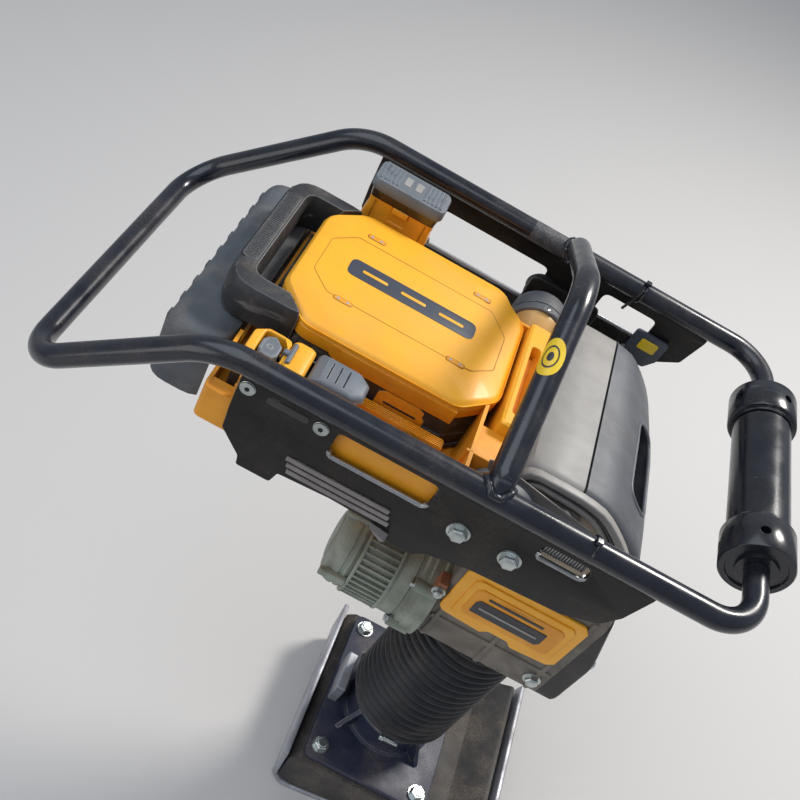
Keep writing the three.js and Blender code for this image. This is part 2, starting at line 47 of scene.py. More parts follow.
# The machine is drawn square to its leg, in millimetres: x forward from the bend of the rails,
# y across, z up from the rails. placeDrawing leans it forward and stands it on its foot.
drawing = {"lean": math.radians(10), "legX": 440, "railHeight": 860, "shiftX": 0.0960952}
placeDrawing = Matrix.Translation((drawing["shiftX"], 0, 0)) @ Matrix.Rotation(drawing["lean"], 4,
    "Y") @ Matrix.Translation((-drawing["legX"] / 1000, 0, drawing["railHeight"] / 1000))
placeShoe = Matrix.Translation((drawing["shiftX"], 0, 0))
scene = bpy.context.scene


# shader node groups

def newGroup(name, inputs, outputs):
    group = bpy.data.node_groups.new(name, "ShaderNodeTree")
    for socketName, kind, value in inputs:
        socket = group.interface.new_socket(socketName, in_out="INPUT", socket_type=kind)
        socket.default_value = value
    for socketName, kind in outputs:
        group.interface.new_socket(socketName, in_out="OUTPUT", socket_type=kind)
    return group, group.nodes.new("NodeGroupInput"), group.nodes.new("NodeGroupOutput")


def addNode(tree, kind, settings=None, **values):
    node = tree.nodes.new(kind)
    for key, value in (settings or {}).items():
        setattr(node, key, value)
    for key, value in values.items():
        name = key.replace("_", " ")
        if isinstance(value, bpy.types.NodeSocket):
            tree.links.new(value, node.inputs[name])
        else:
            node.inputs[name].default_value = value
    return node


def mathNode(tree, operation, a, b=None, clamp=False):
    node = tree.nodes.new("ShaderNodeMath")
    node.operation = operation
    node.use_clamp = clamp
    for index, value in enumerate((a, b)):
        if value is None:
            continue
        if isinstance(value, bpy.types.NodeSocket):
            tree.links.new(value, node.inputs[index])
        else:
            node.inputs[index].default_value = value
    return node.outputs[0]


def mixColor(tree, factor, a, b, mode="MIX"):
    node = tree.nodes.new("ShaderNodeMix")
    node.data_type = "RGBA"
    node.blend_type = mode
    for socket, value in ((node.inputs[0], factor), (node.inputs[6], a), (node.inputs[7], b)):
        if isinstance(value, bpy.types.NodeSocket):
            tree.links.new(value, socket)
        else:
            socket.default_value = value
    return node.outputs[2]


def rampNode(tree, value, low, high):
    node = tree.nodes.new("ShaderNodeMapRange")
    node.clamp = True
    node.interpolation_type = "SMOOTHSTEP"
    tree.links.new(value, node.inputs[0])
    node.inputs[1].default_value = low
    node.inputs[2].default_value = high
    return node.outputs[0]


def buildEdgeWear():
    # a mask that is 1 on worn outer edges and 0 on open faces
    group, given, result = newGroup("edgeWear", [("Radius", "NodeSocketFloat", 0.0016),
        ("Amount", "NodeSocketFloat", 0.5), ("Patch Scale", "NodeSocketFloat", 60.0)], [("Mask", "NodeSocketFloat")])
    place = group.nodes.new("ShaderNodeTexCoord")
    bevel = addNode(group, "ShaderNodeBevel", {"samples": 4}, Radius=given.outputs["Radius"])
    plain = group.nodes.new("ShaderNodeNewGeometry")
    dot = group.nodes.new("ShaderNodeVectorMath")
    dot.operation = "DOT_PRODUCT"
    group.links.new(bevel.outputs[0], dot.inputs[0])
    group.links.new(plain.outputs["Normal"], dot.inputs[1])
    edge = rampNode(group, mathNode(group, "SUBTRACT", 1.0, dot.outputs["Value"]), 0.015, 0.09)
    patch = addNode(group, "ShaderNodeTexNoise", None, Vector=place.outputs["Object"],
        Scale=given.outputs["Patch Scale"], Detail=4.0, Roughness=0.6)
    low = mathNode(group, "SUBTRACT", 0.72, mathNode(group, "MULTIPLY", given.outputs["Amount"], 0.4))
    worn = mathNode(group, "GREATER_THAN", patch.outputs["Fac"], low)
    group.links.new(mathNode(group, "MULTIPLY", edge, worn), result.inputs["Mask"])
    return group


def buildDust():
    # pale soil that settles on faces looking up and gathers in patches
    group, given, result = newGroup("dust", [("Scale", "NodeSocketFloat", 14.0), ("Amount", "NodeSocketFloat", 0.4),
        ("Upward", "NodeSocketFloat", 0.6)], [("Mask", "NodeSocketFloat")])
    place = group.nodes.new("ShaderNodeTexCoord")
    facing = group.nodes.new("ShaderNodeNewGeometry")
    parts = group.nodes.new("ShaderNodeSeparateXYZ")
    group.links.new(facing.outputs["Normal"], parts.inputs[0])
    up = mathNode(group, "MULTIPLY", mathNode(group, "MAXIMUM", parts.outputs["Z"], 0.0), given.outputs["Upward"])
    base = mathNode(group, "ADD", up, mathNode(group, "SUBTRACT", 1.0, given.outputs["Upward"]))
    cloud = addNode(group, "ShaderNodeTexNoise", None, Vector=place.outputs["Object"], Scale=given.outputs["Scale"],
        Detail=6.0, Roughness=0.65)
    speck = addNode(group, "ShaderNodeTexNoise", None, Vector=place.outputs["Object"], Scale=420.0, Detail=2.0)
    patch = rampNode(group, cloud.outputs["Fac"], 0.42, 0.72)
    fine = rampNode(group, speck.outputs["Fac"], 0.35, 0.75)
    both = mathNode(group, "MULTIPLY", patch, mathNode(group, "ADD", mathNode(group, "MULTIPLY", fine, 0.7), 0.3))
    masked = mathNode(group, "MULTIPLY", mathNode(group, "MULTIPLY", both, base), given.outputs["Amount"], True)
    group.links.new(masked, result.inputs["Mask"])
    return group


def buildScratches():
    # fine straight scuffs in two directions, with chips where they are deepest
    group, given, result = newGroup("scratches", [("Density", "NodeSocketFloat", 0.5),
        ("Size", "NodeSocketFloat", 1.0)], [("Mask", "NodeSocketFloat")])
    place = group.nodes.new("ShaderNodeTexCoord")
    masks = []
    for turn, stretch in (((0.3, 0.2, 0.5), (8.0, 160.0, 60.0)), ((0.9, -0.4, 1.3), (12.0, 210.0, 90.0))):
        mapping = addNode(group, "ShaderNodeMapping", None, Vector=place.outputs["Object"])
        mapping.inputs["Rotation"].default_value = turn
        mapping.inputs["Scale"].default_value = stretch
        lines = addNode(group, "ShaderNodeTexNoise", None, Vector=mapping.outputs[0], Scale=given.outputs["Size"],
            Detail=3.0, Roughness=0.55)
        masks.append(rampNode(group, lines.outputs["Fac"], 0.66, 0.72))
    where = addNode(group, "ShaderNodeTexNoise", None, Vector=place.outputs["Object"], Scale=22.0, Detail=3.0)
    allowed = rampNode(group, where.outputs["Fac"], 0.40, 0.68)
    both = mathNode(group, "MAXIMUM", masks[0], masks[1])
    masked = mathNode(group, "MULTIPLY", mathNode(group, "MULTIPLY", both, allowed), given.outputs["Density"], True)
    group.links.new(masked, result.inputs["Mask"])
    return group


def buildGrain():
    # the fine texture of a moulded or cast surface, as a height
    group, given, result = newGroup("grain", [("Scale", "NodeSocketFloat", 900.0),
        ("Coarse", "NodeSocketFloat", 0.3)], [("Height", "NodeSocketFloat"), ("Variation", "NodeSocketFloat")])
    place = group.nodes.new("ShaderNodeTexCoord")
    fine = addNode(group, "ShaderNodeTexVoronoi", None, Vector=place.outputs["Object"], Scale=given.outputs["Scale"])
    broad = addNode(group, "ShaderNodeTexNoise", None, Vector=place.outputs["Object"], Scale=35.0, Detail=5.0)
    coarse = mathNode(group, "MULTIPLY", broad.outputs["Fac"], given.outputs["Coarse"])
    group.links.new(mathNode(group, "ADD", fine.outputs["Distance"], coarse), result.inputs["Height"])
    group.links.new(broad.outputs["Fac"], result.inputs["Variation"])
    return group


groups = {"edgeWear": buildEdgeWear(), "dust": buildDust(), "scratches": buildScratches(), "grain": buildGrain()}


def rgba(color):
    return (color[0], color[1], color[2], 1.0)


def useGroup(tree, name, **values):
    node = tree.nodes.new("ShaderNodeGroup")
    node.node_tree = groups[name]
    for key, value in values.items():
        node.inputs[key.replace("_", " ")].default_value = value
    return node


finish = {}


def makeFinish(name, base, shade, roughness, metallic=0.0, wear=None, dust=None, scratch=None,
               grain=None, coat=0.0, specular=0.5, wearColor=(0.35, 0.34, 0.33), wearMetal=0.8,
               dustColor=(0.30, 0.235, 0.18)):
    material = bpy.data.materials.new(name)
    material.use_nodes = True
    tree = material.node_tree
    shader = tree.nodes["Principled BSDF"]
    shader.inputs["Specular IOR Level"].default_value = specular
    shader.inputs["Coat Weight"].default_value = coat
    shader.inputs["Coat Roughness"].default_value = 0.12
    grainNode = useGroup(tree, "grain", Scale=(grain or {}).get("scale", 900.0),
        Coarse=(grain or {}).get("coarse", 0.3))
    variation = rampNode(tree, grainNode.outputs["Variation"], 0.3, 0.7)
    color = mixColor(tree, variation, rgba(base), rgba(shade))
    rough = mathNode(tree, "ADD", roughness - 0.05, mathNode(tree, "MULTIPLY", variation, 0.12))
    metal = None
    if scratch:
        lines = useGroup(tree, "scratches", Density=scratch.get("density", 0.5), Size=scratch.get("size", 1.0))
        color = mixColor(tree, lines.outputs["Mask"], color, rgba(scratch.get("color", wearColor)))
        rough = mathNode(tree, "ADD", rough, mathNode(tree, "MULTIPLY", lines.outputs["Mask"], 0.15))
    if wear:
        edge = useGroup(tree, "edgeWear", Radius=wear.get("radius", 0.0016), Amount=wear.get("amount", 0.5),
            Patch_Scale=wear.get("patch", 60.0))
        color = mixColor(tree, edge.outputs["Mask"], color, rgba(wearColor))
        if wearMetal > 0 and metallic < 0.5:
            metal = mathNode(tree, "MULTIPLY", edge.outputs["Mask"], wearMetal)
    if dust:
        soil = useGroup(tree, "dust", Scale=dust.get("scale", 14.0), Amount=dust.get("amount", 0.4),
            Upward=dust.get("upward", 0.6))
        color = mixColor(tree, soil.outputs["Mask"], color, rgba(dustColor))
        rough = mathNode(tree, "ADD", rough, mathNode(tree, "MULTIPLY", soil.outputs["Mask"], 0.4), True)
    tree.links.new(color, shader.inputs["Base Color"])
    tree.links.new(rough, shader.inputs["Roughness"])
    if metal is not None:
        tree.links.new(metal, shader.inputs["Metallic"])
    else:
        shader.inputs["Metallic"].default_value = metallic
    bump = addNode(tree, "ShaderNodeBump", None, Height=grainNode.outputs["Height"])
    bump.inputs["Strength"].default_value = (grain or {}).get("bump", 0.08)
    bump.inputs["Distance"].default_value = 0.0006
    tree.links.new(bump.outputs[0], shader.inputs["Normal"])
    finish[name] = material


makeFinish("tubePaint", (0.006, 0.0075, 0.014), (0.01, 0.012, 0.02), 0.25, coat=0.25,
    wear={"amount": 0.2, "radius": 0.002}, scratch={"density": 0.5, "size": 0.8, "color": (0.1, 0.1, 0.12)},
    dust={"amount": 0.16, "scale": 11.0, "upward": 0.4}, grain={"scale": 500.0, "bump": 0.03})
makeFinish("platePaint", (0.009, 0.008, 0.0075), (0.017, 0.015, 0.0135), 0.4, wear={"amount": 0.45, "radius": 0.0015},
    scratch={"density": 0.5, "color": (0.075, 0.066, 0.06)}, specular=0.22, dust={"amount": 0.16, "upward": 0.25},
    grain={"scale": 700.0, "bump": 0.05})
makeFinish("yellowCover", (0.96, 0.45, 0.022), (0.93, 0.41, 0.018), 0.4, scratch={"density": 0.28,
    "color": (0.55, 0.26, 0.05)}, coat=0.08, dust={"amount": 0.22, "scale": 9.0},
    grain={"scale": 1500.0, "bump": 0.1, "coarse": 0.1})
makeFinish("yellowTray", (0.86, 0.36, 0.016), (0.78, 0.3, 0.012), 0.42, scratch={"density": 0.45,
    "color": (0.3, 0.14, 0.04)}, dust={"amount": 0.35, "scale": 18.0, "upward": 0.5},
    grain={"scale": 1200.0, "bump": 0.12})
makeFinish("gripGrey", (0.03, 0.032, 0.036), (0.02, 0.021, 0.024), 0.6, wear={"amount": 0.9, "radius": 0.002,
    "patch": 60.0}, wearColor=(0.24, 0.24, 0.24), wearMetal=0.0, scratch={"density": 0.9, "size": 0.7,
    "color": (0.2, 0.2, 0.2)}, dust={"amount": 0.35, "scale": 30.0, "upward": 0.3},
    grain={"scale": 1300.0, "bump": 0.25})
makeFinish("lockGrey", (0.15, 0.17, 0.195), (0.118, 0.134, 0.155), 0.5, wear={"amount": 0.7, "radius": 0.0014},
    wearColor=(0.34, 0.36, 0.38), wearMetal=0.0, dust={"amount": 0.2, "scale": 25.0},
    grain={"scale": 1500.0, "bump": 0.1})
makeFinish("caseBlack", (0.012, 0.0115, 0.011), (0.024, 0.022, 0.02), 0.54,
    scratch={"density": 0.9, "size": 0.8, "color": (0.16, 0.15, 0.14)}, wear={"amount": 0.9},
    wearColor=(0.17, 0.16, 0.15), wearMetal=0.0, dust={"amount": 0.6, "scale": 24.0, "upward": 0.2},
    grain={"scale": 900.0, "bump": 0.2})
makeFinish("hoodGrey", (0.345, 0.325, 0.305), (0.29, 0.275, 0.258), 0.46, metallic=0.0,
    dust={"amount": 0.28, "scale": 8.0}, scratch={"density": 0.18, "color": (0.25, 0.25, 0.26)},
    grain={"scale": 1400.0, "bump": 0.1})
makeFinish("fasciaGrey", (0.115, 0.121, 0.135), (0.088, 0.093, 0.105), 0.44,
    dust={"amount": 0.25, "scale": 12.0, "upward": 0.3}, scratch={"density": 0.3, "color": (0.28, 0.29, 0.31)},
    grain={"scale": 1200.0, "bump": 0.12})
makeFinish("shroudGrey", (0.095, 0.108, 0.122), (0.072, 0.081, 0.092), 0.5,
    dust={"amount": 0.5, "scale": 13.0, "upward": 0.4}, wear={"amount": 0.5}, wearMetal=0.0,
    wearColor=(0.2, 0.21, 0.22), grain={"scale": 1200.0, "bump": 0.15})
makeFinish("castAlloy", (0.33, 0.36, 0.3), (0.21, 0.235, 0.19), 0.48, metallic=0.45, wear={"amount": 0.5},
    wearColor=(0.34, 0.36, 0.34), dust={"amount": 0.75, "scale": 16.0, "upward": 0.25}, dustColor=(0.17, 0.15, 0.115),
    grain={"scale": 420.0, "bump": 0.45, "coarse": 0.9})
makeFinish("castTaupe", (0.19, 0.17, 0.142), (0.115, 0.101, 0.084), 0.58, metallic=0.2,
    wear={"amount": 0.6, "radius": 0.0022}, wearColor=(0.24, 0.22, 0.19), wearMetal=0.3,
    scratch={"density": 0.5, "color": (0.16, 0.14, 0.12)}, dust={"amount": 0.75, "scale": 12.0, "upward": 0.25},
    dustColor=(0.19, 0.155, 0.12), grain={"scale": 380.0, "bump": 0.4, "coarse": 0.9})
makeFinish("zinc", (0.56, 0.6, 0.6), (0.42, 0.45, 0.43), 0.28, metallic=0.95,
    dust={"amount": 0.25, "scale": 60.0, "upward": 0.2}, grain={"scale": 1200.0, "bump": 0.1})
makeFinish("bareSteel", (0.42, 0.43, 0.45), (0.3, 0.3, 0.31), 0.34, metallic=0.9,
    scratch={"density": 0.5, "color": (0.55, 0.55, 0.56)}, dust={"amount": 0.3, "scale": 20.0},
    grain={"scale": 900.0, "bump": 0.08})
makeFinish("shoeSteel", (0.45, 0.46, 0.5), (0.32, 0.32, 0.35), 0.42, metallic=0.55,
    scratch={"density": 0.8, "color": (0.62, 0.62, 0.66)}, wear={"amount": 0.7}, dust={"amount": 0.6, "scale": 10.0},
    grain={"scale": 500.0, "bump": 0.2})
makeFinish("rubber", (0.01, 0.01, 0.013), (0.018, 0.018, 0.022), 0.42, specular=0.45,
    dust={"amount": 0.25, "scale": 18.0, "upward": 0.5}, grain={"scale": 800.0, "bump": 0.08})
makeFinish("flangeBlue", (0.016, 0.021, 0.048), (0.024, 0.028, 0.05), 0.45, wear={"amount": 0.6},
    dust={"amount": 0.4, "scale": 14.0}, grain={"scale": 500.0, "bump": 0.25})
makeFinish("blockBlack", (0.018, 0.018, 0.02), (0.035, 0.032, 0.03), 0.55,
    scratch={"density": 0.6, "color": (0.12, 0.11, 0.1)}, dust={"amount": 0.6, "scale": 10.0, "upward": 0.3},
    grain={"scale": 600.0, "bump": 0.2})
makeFinish("rollerBlack", (0.007, 0.0085, 0.013), (0.011, 0.0125, 0.018), 0.24,
    scratch={"density": 0.55, "size": 0.7, "color": (0.1, 0.1, 0.12)}, coat=0.15, wear={"amount": 0.35},
    wearColor=(0.12, 0.12, 0.13), wearMetal=0.0, dust={"amount": 0.12, "scale": 15.0},
    grain={"scale": 700.0, "bump": 0.04})
makeFinish("plateGrey", (0.27, 0.245, 0.235), (0.22, 0.2, 0.19), 0.5, metallic=0.2,
    scratch={"density": 0.3, "color": (0.38, 0.36, 0.35)}, dust={"amount": 0.3}, grain={"scale": 900.0, "bump": 0.08})
makeFinish("labelBlack", (0.02, 0.022, 0.028), (0.03, 0.032, 0.038), 0.35, grain={"scale": 1500.0, "bump": 0.02},
    dust={"amount": 0.2})
makeFinish("inkGrey", (0.055, 0.063, 0.085), (0.045, 0.052, 0.07), 0.42, grain={"scale": 1500.0, "bump": 0.05})
makeFinish("stickerYellow", (0.8, 0.55, 0.02), (0.72, 0.47, 0.02), 0.35, scratch={"density": 0.4,
    "color": (0.3, 0.2, 0.05)}, grain={"scale": 1500.0, "bump": 0.02})
# painted shade: a near-black for screw sockets, grooves, the hood seam and the back of the vent
makeFinish("paintedShadeBlack", (0.004, 0.004, 0.005), (0.007, 0.007, 0.008), 0.7, grain={"scale": 900.0, "bump": 0.05})
makeFinish("copper", (0.45, 0.17, 0.05), (0.32, 0.11, 0.03), 0.4, metallic=0.8, grain={"scale": 400.0, "bump": 0.4})
makeFinish("coverShade", (0.36, 0.15, 0.012), (0.3, 0.12, 0.01), 0.5, grain={"scale": 1500.0, "bump": 0.05})
makeFinish("pinGrey", (0.42, 0.44, 0.52), (0.36, 0.38, 0.46), 0.3, grain={"scale": 1500.0, "bump": 0.02})
makeFinish("bandSmoke", (0.035, 0.02, 0.01), (0.05, 0.03, 0.014), 0.1, coat=0.6,
    grain={"scale": 1500.0, "bump": 0.02}, dust={"amount": 0.2, "upward": 0.2})
makeFinish("bootGrey", (0.085, 0.095, 0.125), (0.06, 0.068, 0.09), 0.45, dust={"amount": 0.4, "scale": 20.0,
    "upward": 0.4}, grain={"scale": 900.0, "bump": 0.12})
makeFinish("plateTan", (0.42, 0.34, 0.25), (0.33, 0.27, 0.2), 0.55, dust={"amount": 0.4},
    grain={"scale": 900.0, "bump": 0.08})
makeFinish("coneTan", (0.62, 0.36, 0.11), (0.48, 0.26, 0.07), 0.45, dust={"amount": 0.3},
    grain={"scale": 900.0, "bump": 0.08})
makeFinish("rustOrange", (0.42, 0.17, 0.08), (0.26, 0.1, 0.05), 0.6, metallic=0.3,
    grain={"scale": 500.0, "bump": 0.3}, dust={"amount": 0.4})
makeFinish("capGrey", (0.15, 0.17, 0.195), (0.118, 0.134, 0.155), 0.5, grain={"scale": 1500.0, "bump": 0.05})
makeFinish("patchBlack", (0.03, 0.026, 0.024), (0.04, 0.036, 0.033), 0.5, grain={"scale": 700.0, "bump": 0.05})
makeFinish("wornPaint", (0.03, 0.032, 0.04), (0.06, 0.06, 0.065), 0.5, scratch={"density": 1.0, "size": 1.6,
    "color": (0.3, 0.29, 0.29)}, dust={"amount": 0.8, "scale": 60.0, "upward": 0.1}, dustColor=(0.22, 0.21, 0.21),
    grain={"scale": 260.0, "bump": 0.8, "coarse": 1.5})
makeFinish("cellWrap", (0.03, 0.1, 0.18), (0.04, 0.12, 0.2), 0.4, grain={"scale": 900.0, "bump": 0.1})
print("stage: finishes made")


# shapes, drawn in millimetres

def newMesh(name, vertices, faces, material=None, smooth=False):
    mesh = bpy.data.meshes.new(name)
    mesh.from_pydata([Vector(v) / 1000 for v in vertices], [], faces)
    mesh.validate()
    mesh.update()
    item = bpy.data.objects.new(name, mesh)
    scene.collection.objects.link(item)
    if material:
        mesh.materials.append(finish[material])
    if smooth:
        mesh.polygons.foreach_set("use_smooth", [True] * len(mesh.polygons))
    return item


def cleanMesh(item, merge=1e-6, recalc=True):
    work = bmesh.new()
    work.from_mesh(item.data)
    bmesh.ops.remove_doubles(work, verts=work.verts, dist=merge)
    bmesh.ops.dissolve_degenerate(work, edges=work.edges, dist=1e-7)
    if recalc:
        bmesh.ops.recalc_face_normals(work, faces=work.faces)
    work.to_mesh(item.data)
    work.free()
    item.data.update()


def softenEdges(item, width, segments=2, angle=35, smooth=True):
    modifier = item.modifiers.new("roundedEdges", "BEVEL")
    modifier.width = width / 1000
    modifier.segments = segments
    modifier.limit_method = "ANGLE"
    modifier.angle_limit = math.radians(angle)
    modifier.harden_normals = False
    if smooth:
        item.data.polygons.foreach_set("use_smooth", [True] * len(item.data.polygons))
        flat = item.modifiers.new("cornerNormals", "WEIGHTED_NORMAL")
        flat.keep_sharp = True
        flat.weight = 60
    return item


def applyModifiers(item):
    graph = bpy.context.evaluated_depsgraph_get()
    mesh = bpy.data.meshes.new_from_object(item.evaluated_get(graph), preserve_all_data_layers=True, depsgraph=graph)
    item.modifiers.clear()
    old = item.data
    item.data = mesh
    if old.users == 0:
        bpy.data.meshes.remove(old)
    return item


def settle(item, body, slotName, *nodes, matrix=None):
    # puts a finished drawing piece into the leaned machine and onto its body
    item.data.transform(matrix or placeDrawing)
    item.data.update()
    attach(item, body)
    if nodes:
        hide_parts(*nodes)
    return item


def joinInto(name, items):
    # one mesh from several finished ones, keeping each one's material
    work = bmesh.new()
    materials = []
    for item in items:
        applyModifiers(item)
        offset = len(work.faces)
        table = []
        for material in item.data.materials:
            if material not in materials:
                materials.append(material)
            table.append(materials.index(material))
        work.from_mesh(item.data)
        work.faces.ensure_lookup_table()
        for index in range(offset, len(work.faces)):
            face = work.faces[index]
            face.material_index = table[face.material_index] if table else 0
        bpy.data.objects.remove(item)
    mesh = bpy.data.meshes.new(name)
    work.to_mesh(mesh)
    work.free()
    for material in materials:
        mesh.materials.append(material)
    joined = bpy.data.objects.new(name, mesh)
    scene.collection.objects.link(joined)
    return joined


def roundOutline(points, radius, steps=4):
    # a closed outline with each corner rounded; a point may carry its own radius
    result = []
    count = len(points)
    for index, point in enumerate(points):
        here = Vector(point[:2])
        reach = point[2] if len(point) > 2 else radius
        before = (Vector(points[index - 1][:2]) - here)
        after = (Vector(points[(index + 1) % count][:2]) - here)
        if reach <= 0 or before.length < 1e-6 or after.length < 1e-6:
            result.append(here)
            continue
        half = before.angle(after) / 2
        if half > math.radians(88):
            result.append(here)
            continue
        length = min(reach / math.tan(half), before.length * 0.48, after.length * 0.48)
        start = here + before.normalized() * length
        end = here + after.normalized() * length
        for step in range(steps + 1):
            t = step / steps
            result.append(start * (1 - t) ** 2 + here * 2 * t * (1 - t) + end * t ** 2)
    return result


def rectangle(a0, a1, b0, b1, radius=0.0):
    return roundOutline([(a0, b0), (a1, b0), (a1, b1), (a0, b1)], radius, 5)


planes = {"top": Matrix(((1, 0, 0), (0, 1, 0), (0, 0, 1))), "side": Matrix(((1, 0, 0), (0, 0, -1), (0, 1, 0))),
    "end": Matrix(((0, 0, 1), (1, 0, 0), (0, 1, 0)))}


def slab(name, outlines, low, high, plane="top", edge=0.8, material=None, segments=2):
    # a plate cut to closed outlines, the first its rim and the others its openings
    curve = bpy.data.curves.new(name, "CURVE")
    curve.dimensions = "2D"
    curve.fill_mode = "BOTH"
    curve.extrude = ((high - low) / 2 - edge) / 1000
    curve.bevel_depth = edge / 1000
    curve.bevel_resolution = segments
    curve.offset = -edge / 1000
    for outline in outlines:
        spline = curve.splines.new("POLY")
        spline.points.add(len(outline) - 1)
        for point, place in zip(spline.points, outline):
            point.co = (place[0] / 1000, place[1] / 1000, 0, 1)
        spline.use_cyclic_u = True
    flat = bpy.data.objects.new(name, curve)
    scene.collection.objects.link(flat)
    graph = bpy.context.evaluated_depsgraph_get()
    mesh = bpy.data.meshes.new_from_object(flat.evaluated_get(graph))
    bpy.data.objects.remove(flat)
    bpy.data.curves.remove(curve)
    middle = -(low + high) / 2 if plane == "side" else (low + high) / 2
    mesh.transform(planes[plane].to_4x4() @ Matrix.Translation((0, 0, middle / 1000)))
    item = bpy.data.objects.new(name, mesh)
    scene.collection.objects.link(item)
    cleanMesh(item, 2e-6)
    if material:
        item.data.materials.clear()
        item.data.materials.append(finish[material])
    smoothByAngle(item, 40)
    return item


def smoothByAngle(item, angle=35):
    work = bmesh.new()
    work.from_mesh(item.data)
    limit = math.radians(angle)
    for face in work.faces:
        face.smooth = True
    for edge in work.edges:
        edge.smooth = len(edge.link_faces) == 2 and edge.calc_face_angle(0) < limit
    work.to_mesh(item.data)
    work.free()
    return item


def tube(name, path, radius, closed=False, sides=32, material=None, radii=None):
    points = [Vector(p) for p in path]
    count = len(points)
    tangents = []
    for index in range(count):
        ahead = points[(index + 1) % count] if closed else points[min(index + 1, count - 1)]
        behind = points[index - 1] if closed or index else points[0]
        tangents.append((ahead - behind).normalized())
    normal = Vector((0.3, 0.5, 0.8))
    normals = []
    for tangent in tangents:
        normal = (normal - tangent * normal.dot(tangent)).normalized()
        normals.append(normal)
    twist = 0.0
    if closed:
        arrived = (normals[-1] - tangents[0] * normals[-1].dot(tangents[0])).normalized()
        twist = math.atan2(arrived.dot(tangents[0].cross(normals[0])), arrived.dot(normals[0]))
    vertices = []
    faces = []
    for index in range(count):
        side = tangents[index].cross(normals[index])
        size = radii[index] if radii else radius
        for k in range(sides):
            angle = 2 * math.pi * k / sides - twist * index / count
            vertices.append(points[index] + (normals[index] * math.cos(angle) + side * math.sin(angle)) * size)
    for index in range(count if closed else count - 1):
        following = ((index + 1) % count) * sides
        for k in range(sides):
            j = (k + 1) % sides
            faces.append((index * sides + k, index * sides + j, following + j, following + k))
    if not closed:
        faces.append(tuple(reversed(range(sides))))
        faces.append(tuple((count - 1) * sides + k for k in range(sides)))
    item = newMesh(name, vertices, faces, material, smooth=True)
    return smoothByAngle(item, 50)


def bentPath(corners, closed=False, steps=10):
    count = len(corners)
    path = []
    for index, (x, y, z, bend) in enumerate(corners):
        here = Vector((x, y, z))
        if bend <= 0 or (not closed and index in (0, count - 1)):
            path.append(here)
            continue
        before = (Vector(corners[index - 1][:3]) - here).normalized()
        after = (Vector(corners[(index + 1) % count][:3]) - here).normalized()
        half = before.angle(after) / 2
        centre = here + (before + after).normalized() * (bend / math.sin(half))
        start = here + before * (bend / math.tan(half)) - centre
        end = here + after * (bend / math.tan(half)) - centre
        sweep = math.pi - 2 * half
        for step in range(steps + 1):
            t = step / steps
            path.append(centre + start * (math.sin((1 - t) * sweep) / math.sin(sweep))
                        + end * (math.sin(t * sweep) / math.sin(sweep)))
    return path


def turned(name, profile, axis="z", centre=(0, 0, 0), sides=48, material=None, closed=True, angle=35):
    # a profile of (radius, distance) pairs turned about an axis
    vertices = []
    faces = []
    count = len(profile)
    for radius, distance in profile:
        for k in range(sides):
            turn = 2 * math.pi * k / sides
            vertices.append((radius * math.cos(turn), radius * math.sin(turn), distance))
    for index in range(count if closed else count - 1):
        following = ((index + 1) % count) * sides
        for k in range(sides):
            j = (k + 1) % sides
            faces.append((index * sides + k, index * sides + j, following + j, following + k))
    item = newMesh(name, vertices, faces, material)
    turn = {"z": Matrix.Identity(4), "x": Matrix.Rotation(math.pi / 2, 4, "Y"),
        "y": Matrix.Rotation(-math.pi / 2, 4, "X")}[axis]
    item.data.transform(Matrix.Translation(Vector(centre) / 1000) @ turn)
    cleanMesh(item, 1e-7)
    return smoothByAngle(item, angle)


def block(name, x0, x1, y0, y1, z0, z1, edge=1.5, material=None, segments=3, taper=None):
    corners = []
    for z in (z0, z1):
        inset = (taper or 0) if z == z1 else 0
        corners += [(x0 + inset, y0 + inset, z), (x1 - inset, y0 + inset, z), (x1 - inset, y1 - inset, z),
            (x0 + inset, y1 - inset, z)]
    faces = [(3, 2, 1, 0), (4, 5, 6, 7), (0, 1, 5, 4), (1, 2, 6, 5), (2, 3, 7, 6), (3, 0, 4, 7)]
    item = newMesh(name, corners, faces, material)
    if edge > 0:
        softenEdges(item, edge, segments)
        applyModifiers(item)
    return item


def carve(item, *tools, keep=False):
    for tool in tools:
        modifier = item.modifiers.new("opening", "BOOLEAN")
        modifier.operation = "DIFFERENCE"
        modifier.solver = "EXACT"
        modifier.object = tool
    applyModifiers(item)
    if not keep:
        for tool in tools:
            bpy.data.objects.remove(tool)
    return item


def loft(name, rings, material=None, smooth=40, capStart=True, capEnd=True):
    # a skin over equal closed rings of points, from the first to the last
    count = len(rings[0])
    vertices = [point for ring in rings for point in ring]
    faces = []
    for index in range(len(rings) - 1):
        a = index * count
        b = a + count
        for k in range(count):
            j = (k + 1) % count
            faces.append((a + k, a + j, b + j, b + k))
    if capStart:
        faces.append(tuple(reversed(range(count))))
    if capEnd:
        faces.append(tuple((len(rings) - 1) * count + k for k in range(count)))
    item = newMesh(name, vertices, faces, material)
    cleanMesh(item, 1e-7)
    return smoothByAngle(item, smooth)


def ringAt(outline, z):
    return [(p[0], p[1], z(p[0], p[1]) if callable(z) else z) for p in outline]


def octagon(x0, x1, y0, y1, corner, radius=10, steps=3):
    return roundOutline([(x0 + corner, y0), (x1 - corner, y0), (x1, y0 + corner), (x1, y1 - corner),
        (x1 - corner, y1), (x0 + corner, y1), (x0, y1 - corner), (x0, y0 + corner)], radius, steps)


# geometry nodes: repeated fixings, fins and ribs

